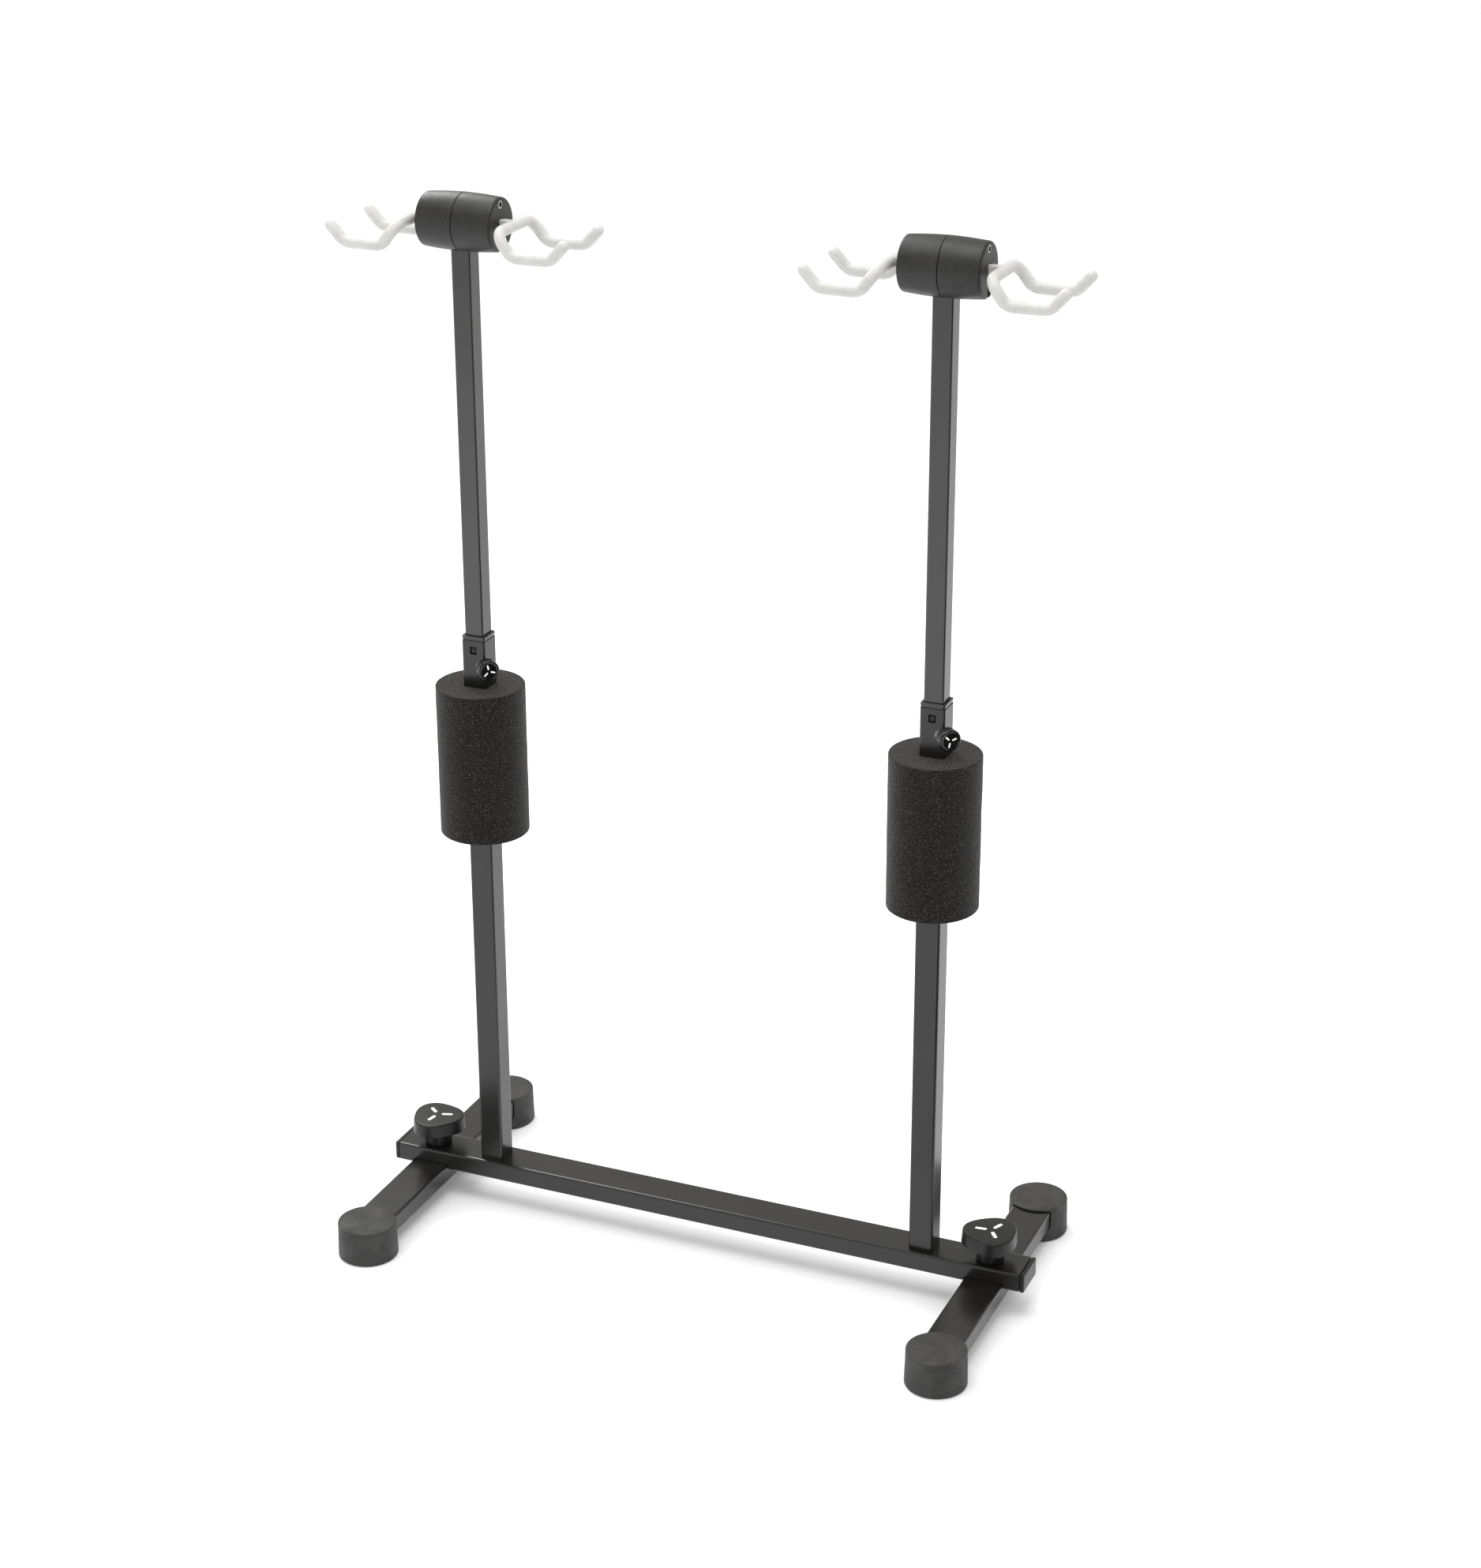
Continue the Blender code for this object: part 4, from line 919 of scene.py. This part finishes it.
def bend_corners(corners, radius, steps):
    """Replaces each inner corner of a path with an arc, and divides the straight runs."""
    path = [corners[0]]
    for before, corner, after in zip(corners, corners[1:], corners[2:]):
        back = (before - corner).normalized()
        ahead = (after - corner).normalized()
        half_turn = (math.pi - back.angle(ahead)) / 2
        reach = radius * math.tan(half_turn)
        centre = corner + (back + ahead).normalized() * (radius / math.cos(half_turn))
        start = corner + back * reach - centre
        end = corner + ahead * reach - centre
        bend = [centre + start.slerp(end, i / steps).normalized() * radius for i in range(steps + 1)]
        path += [path[-1].lerp(bend[0], i / 4) for i in (1, 2, 3)]
        path += bend
    path += [path[-1].lerp(corners[-1], i / 4) for i in (1, 2, 3, 4)]
    return path


def domed(path, radius, steps=7):
    """Adds round ends to a rod's path, and returns the radius at each point."""
    front = []
    rear = []
    radii = []
    for index in range(1, steps + 1):
        angle = math.pi / 2 * index / steps
        front.append(path[0] + (path[0] - path[1]).normalized() * radius * math.sin(angle))
        rear.append(path[-1] + (path[-1] - path[-2]).normalized() * radius * math.sin(angle))
        radii.append(radius * max(math.cos(angle), 0.0))
    full = list(reversed(front)) + list(path) + rear
    return full, list(reversed(radii)) + [radius] * len(path) + radii


def make_fork_sleeve(side, name, sign):
    """The soft sleeve over the fork's wire, with its root in the barrel's slot."""
    node = f"fork_sleeve_{name}_{side}"
    turn = 0 if sign > 0 else math.pi
    place = Matrix.Translation(head_centre(side)) @ Matrix.Rotation(turn, 4, "Z")
    path, radii = domed(bend_corners(fork_corners(), FORK_BEND, 10), SLEEVE_RADIUS)
    sleeve = swept(f"neck_fork_{name}_{side}", [place @ point for point in path], radii)
    rings = []
    for out, width, bottom, top in ROOT_SECTIONS:
        middle = (top + bottom) / 2
        outline = rectangle(width, top - bottom, ROOT_CORNER)
        rings.append([place @ Vector((out, x, middle + y)) for x, y in outline])
    root = skin(f"root_{node}", rings)
    combine(sleeve, root, "UNION", sharp=50)
    finish_piece(sleeve, bodies_of_nodes[node], "milky_plastic", finishes["milky_plastic"], node)


def make_bush(side):
    """The collar that guides the inner tube: a rim with rounded edges, the tab in the window, and a
    near-black plate behind the tab that is painted shade.
    """
    node = f"post_bush_{side}"
    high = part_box(node)[1]
    tube_low, tube_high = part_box(f"post_outer_tube_{side}")
    inner_low, inner_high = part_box(f"post_inner_tube_{side}")
    centre_x = (tube_low.x + tube_high.x) / 2
    width = tube_high.x - tube_low.x
    bore = inner_high.x - inner_low.x + 2 * GAP
    bottom = tube_high.z + GAP
    rings = []

    def square_ring(size, height, corner):
        rings.append([Vector((centre_x + x, y, height)) for x, y in rectangle(size, size, corner, 6)])

    square_ring(bore, bottom, BUSH_BORE_CORNER)
    square_ring(bore, high.z - BUSH_LEAD_IN, BUSH_BORE_CORNER)
    square_ring(bore + 2 * BUSH_LEAD_IN, high.z, BUSH_LEAD_CORNER)
    for angle in (90, 68, 45, 22, 0):
        inset = BUSH_EDGE * (1 - math.cos(math.radians(angle)))
        height = high.z - BUSH_EDGE + BUSH_EDGE * math.sin(math.radians(angle))
        square_ring(width - 2 * inset, height, BUSH_CORNER)
    for narrower, rise, corner in BUSH_FOOT:
        square_ring(width - narrower, bottom + rise, corner)
    rim = skin(f"bush_rim_{side}", rings, loop=True)
    body = bodies_of_nodes[node]
    finish_piece(rim, body, "black_plastic", finishes["glossy_plastic"], node)
    middle = (WINDOW_LOW + WINDOW_HIGH) / 2
    place = along((centre_x, tube_low.y + TAB_SINK, middle), (0, -1, 0))
    tab = bar(f"bush_tab_{side}", rectangle(*TAB_SIZE), TAB_THICKNESS, place, edge=TAB_EDGE)
    finish_piece(tab, body, "black_plastic", finishes["black_plastic"])
    # The pocket: a near-black plate behind the tab, painted shade
    pocket_place = place @ Matrix.Translation((0, 0, -POCKET_SINK))
    pocket = bar(f"bush_pocket_shade_{side}", rectangle(*POCKET_SIZE), POCKET_THICKNESS, pocket_place)
    finish_piece(pocket, body, "black_plastic", finishes["painted_shade_black"])


def dress_cad_nodes():
    """Gives every CAD node that still shows the finish of its slot."""
    for name, obj in frame["nodes"].items():
        look = finishes[slots_of_nodes[name]]
        for slot in obj.material_slots:
            slot.material = look


# ---------------------------------------------------------------- stage


def mesh_object(name, corners, faces, look):
    """A part of the studio, from its corners and faces."""
    data = bpy.data.meshes.new(name)
    data.from_pydata(corners, [], faces)
    data.materials.append(look)
    obj = bpy.data.objects.new(name, data)
    bpy.context.scene.collection.objects.link(obj)
    return obj


def make_floor():
    """A wide pale studio floor."""
    made, tree, shader, place = new_finish("floor_look")
    clouds = noise_at(tree, place, 0.8)
    tree.links.new(blended(tree, clouds, *FLOOR_SHADES), shader.inputs["Base Color"])
    set_inputs(shader, Roughness=0.9, Specular_IOR_Level=0.1)
    ways = ((-1, -1), (1, -1), (1, 1), (-1, 1))
    corners = [(x * FLOOR_HALF, y * FLOOR_HALF, FLOOR_HEIGHT) for x, y in ways]
    mesh_object("floor", corners, [(0, 1, 2, 3)], made)


def add_softbox(name, place, target, size, radiance):
    """A softbox that shows in reflections and not to the camera."""
    data = bpy.data.lights.new(name, "AREA")
    data.shape = "RECTANGLE"
    data.size, data.size_y = size
    data.energy = radiance * math.pi * size[0] * size[1]
    light = bpy.data.objects.new(name, data)
    light.location = place
    light.rotation_euler = (Vector(target) - Vector(place)).to_track_quat("-Z", "Y").to_euler()
    light.visible_camera = False
    bpy.context.scene.collection.objects.link(light)


def light_studio():
    """An even sky and three softboxes. Glossy rays see a dimmer sky, so black stays black."""
    world = bpy.data.worlds.new("studio")
    bpy.context.scene.world = world
    world.use_nodes = True
    tree = world.node_tree
    background = tree.nodes["Background"]
    background.inputs["Color"].default_value = SKY
    is_glossy = add(tree, "ShaderNodeLightPath").outputs["Is Glossy Ray"]
    strength = ranged(tree, is_glossy, 0.0, 1.0, SKY_SEEN, SKY_REFLECTED)
    tree.links.new(strength, background.inputs["Strength"])
    for softbox in SOFTBOXES:
        add_softbox(*softbox)


def add_card():
    """A black card beside the camera, seen only in reflections, that darkens the tubes' corners."""
    made, tree, shader, place = new_finish("flag_look")
    weave = noise_at(tree, place, 0.01)
    tree.links.new(blended(tree, weave, *CARD_SHADES), shader.inputs["Base Color"])
    set_inputs(shader, Roughness=1.0, Specular_IOR_Level=0.0)
    card = mesh_object("flag", CARD_ON_FLOOR + CARD_UPRIGHT, [(0, 1, 2, 3, 4), (5, 6, 7, 8)], made)
    card.visible_camera = False
    card.visible_diffuse = False
    card.visible_shadow = False


def add_camera():
    """The camera at the product photograph's angle."""
    level = math.cos(CAMERA_PITCH)
    forward = Vector(
        (-math.sin(CAMERA_YAW) * level, math.cos(CAMERA_YAW) * level, math.sin(CAMERA_PITCH))
    )
    right = forward.cross(Vector((0, 0, 1))).normalized()
    up = right.cross(forward)
    right, up = (
        right * math.cos(CAMERA_ROLL) + up * math.sin(CAMERA_ROLL),
        up * math.cos(CAMERA_ROLL) - right * math.sin(CAMERA_ROLL),
    )
    data = bpy.data.cameras.new("camera")
    data.sensor_fit = "AUTO"
    data.sensor_width = 36.0
    data.lens = CAMERA_LENS
    data.clip_end = CAMERA_REACH
    camera = bpy.data.objects.new("camera", data)
    turn = Matrix((right, up, -forward)).transposed().to_4x4()
    camera.matrix_world = Matrix.Translation(CAMERA_PLACE) @ turn
    bpy.context.scene.collection.objects.link(camera)
    bpy.context.scene.camera = camera


finishes = make_finishes()
dress_cad_nodes()
for side, sign in SIDES:
    make_foam_roll(side)
    make_clamp_knob(side)
    make_thumb_screw(side, sign)
    make_bush(side)
    for end_name, end in ENDS:
        make_foot(side, end_name, end)
    for name, fork in FORKS:
        make_head_shell(side, name, fork * sign)
        make_fork_sleeve(side, name, fork * sign)
make_floor()
light_studio()
add_card()
add_camera()
bpy.context.scene.view_settings.view_transform = "Standard"
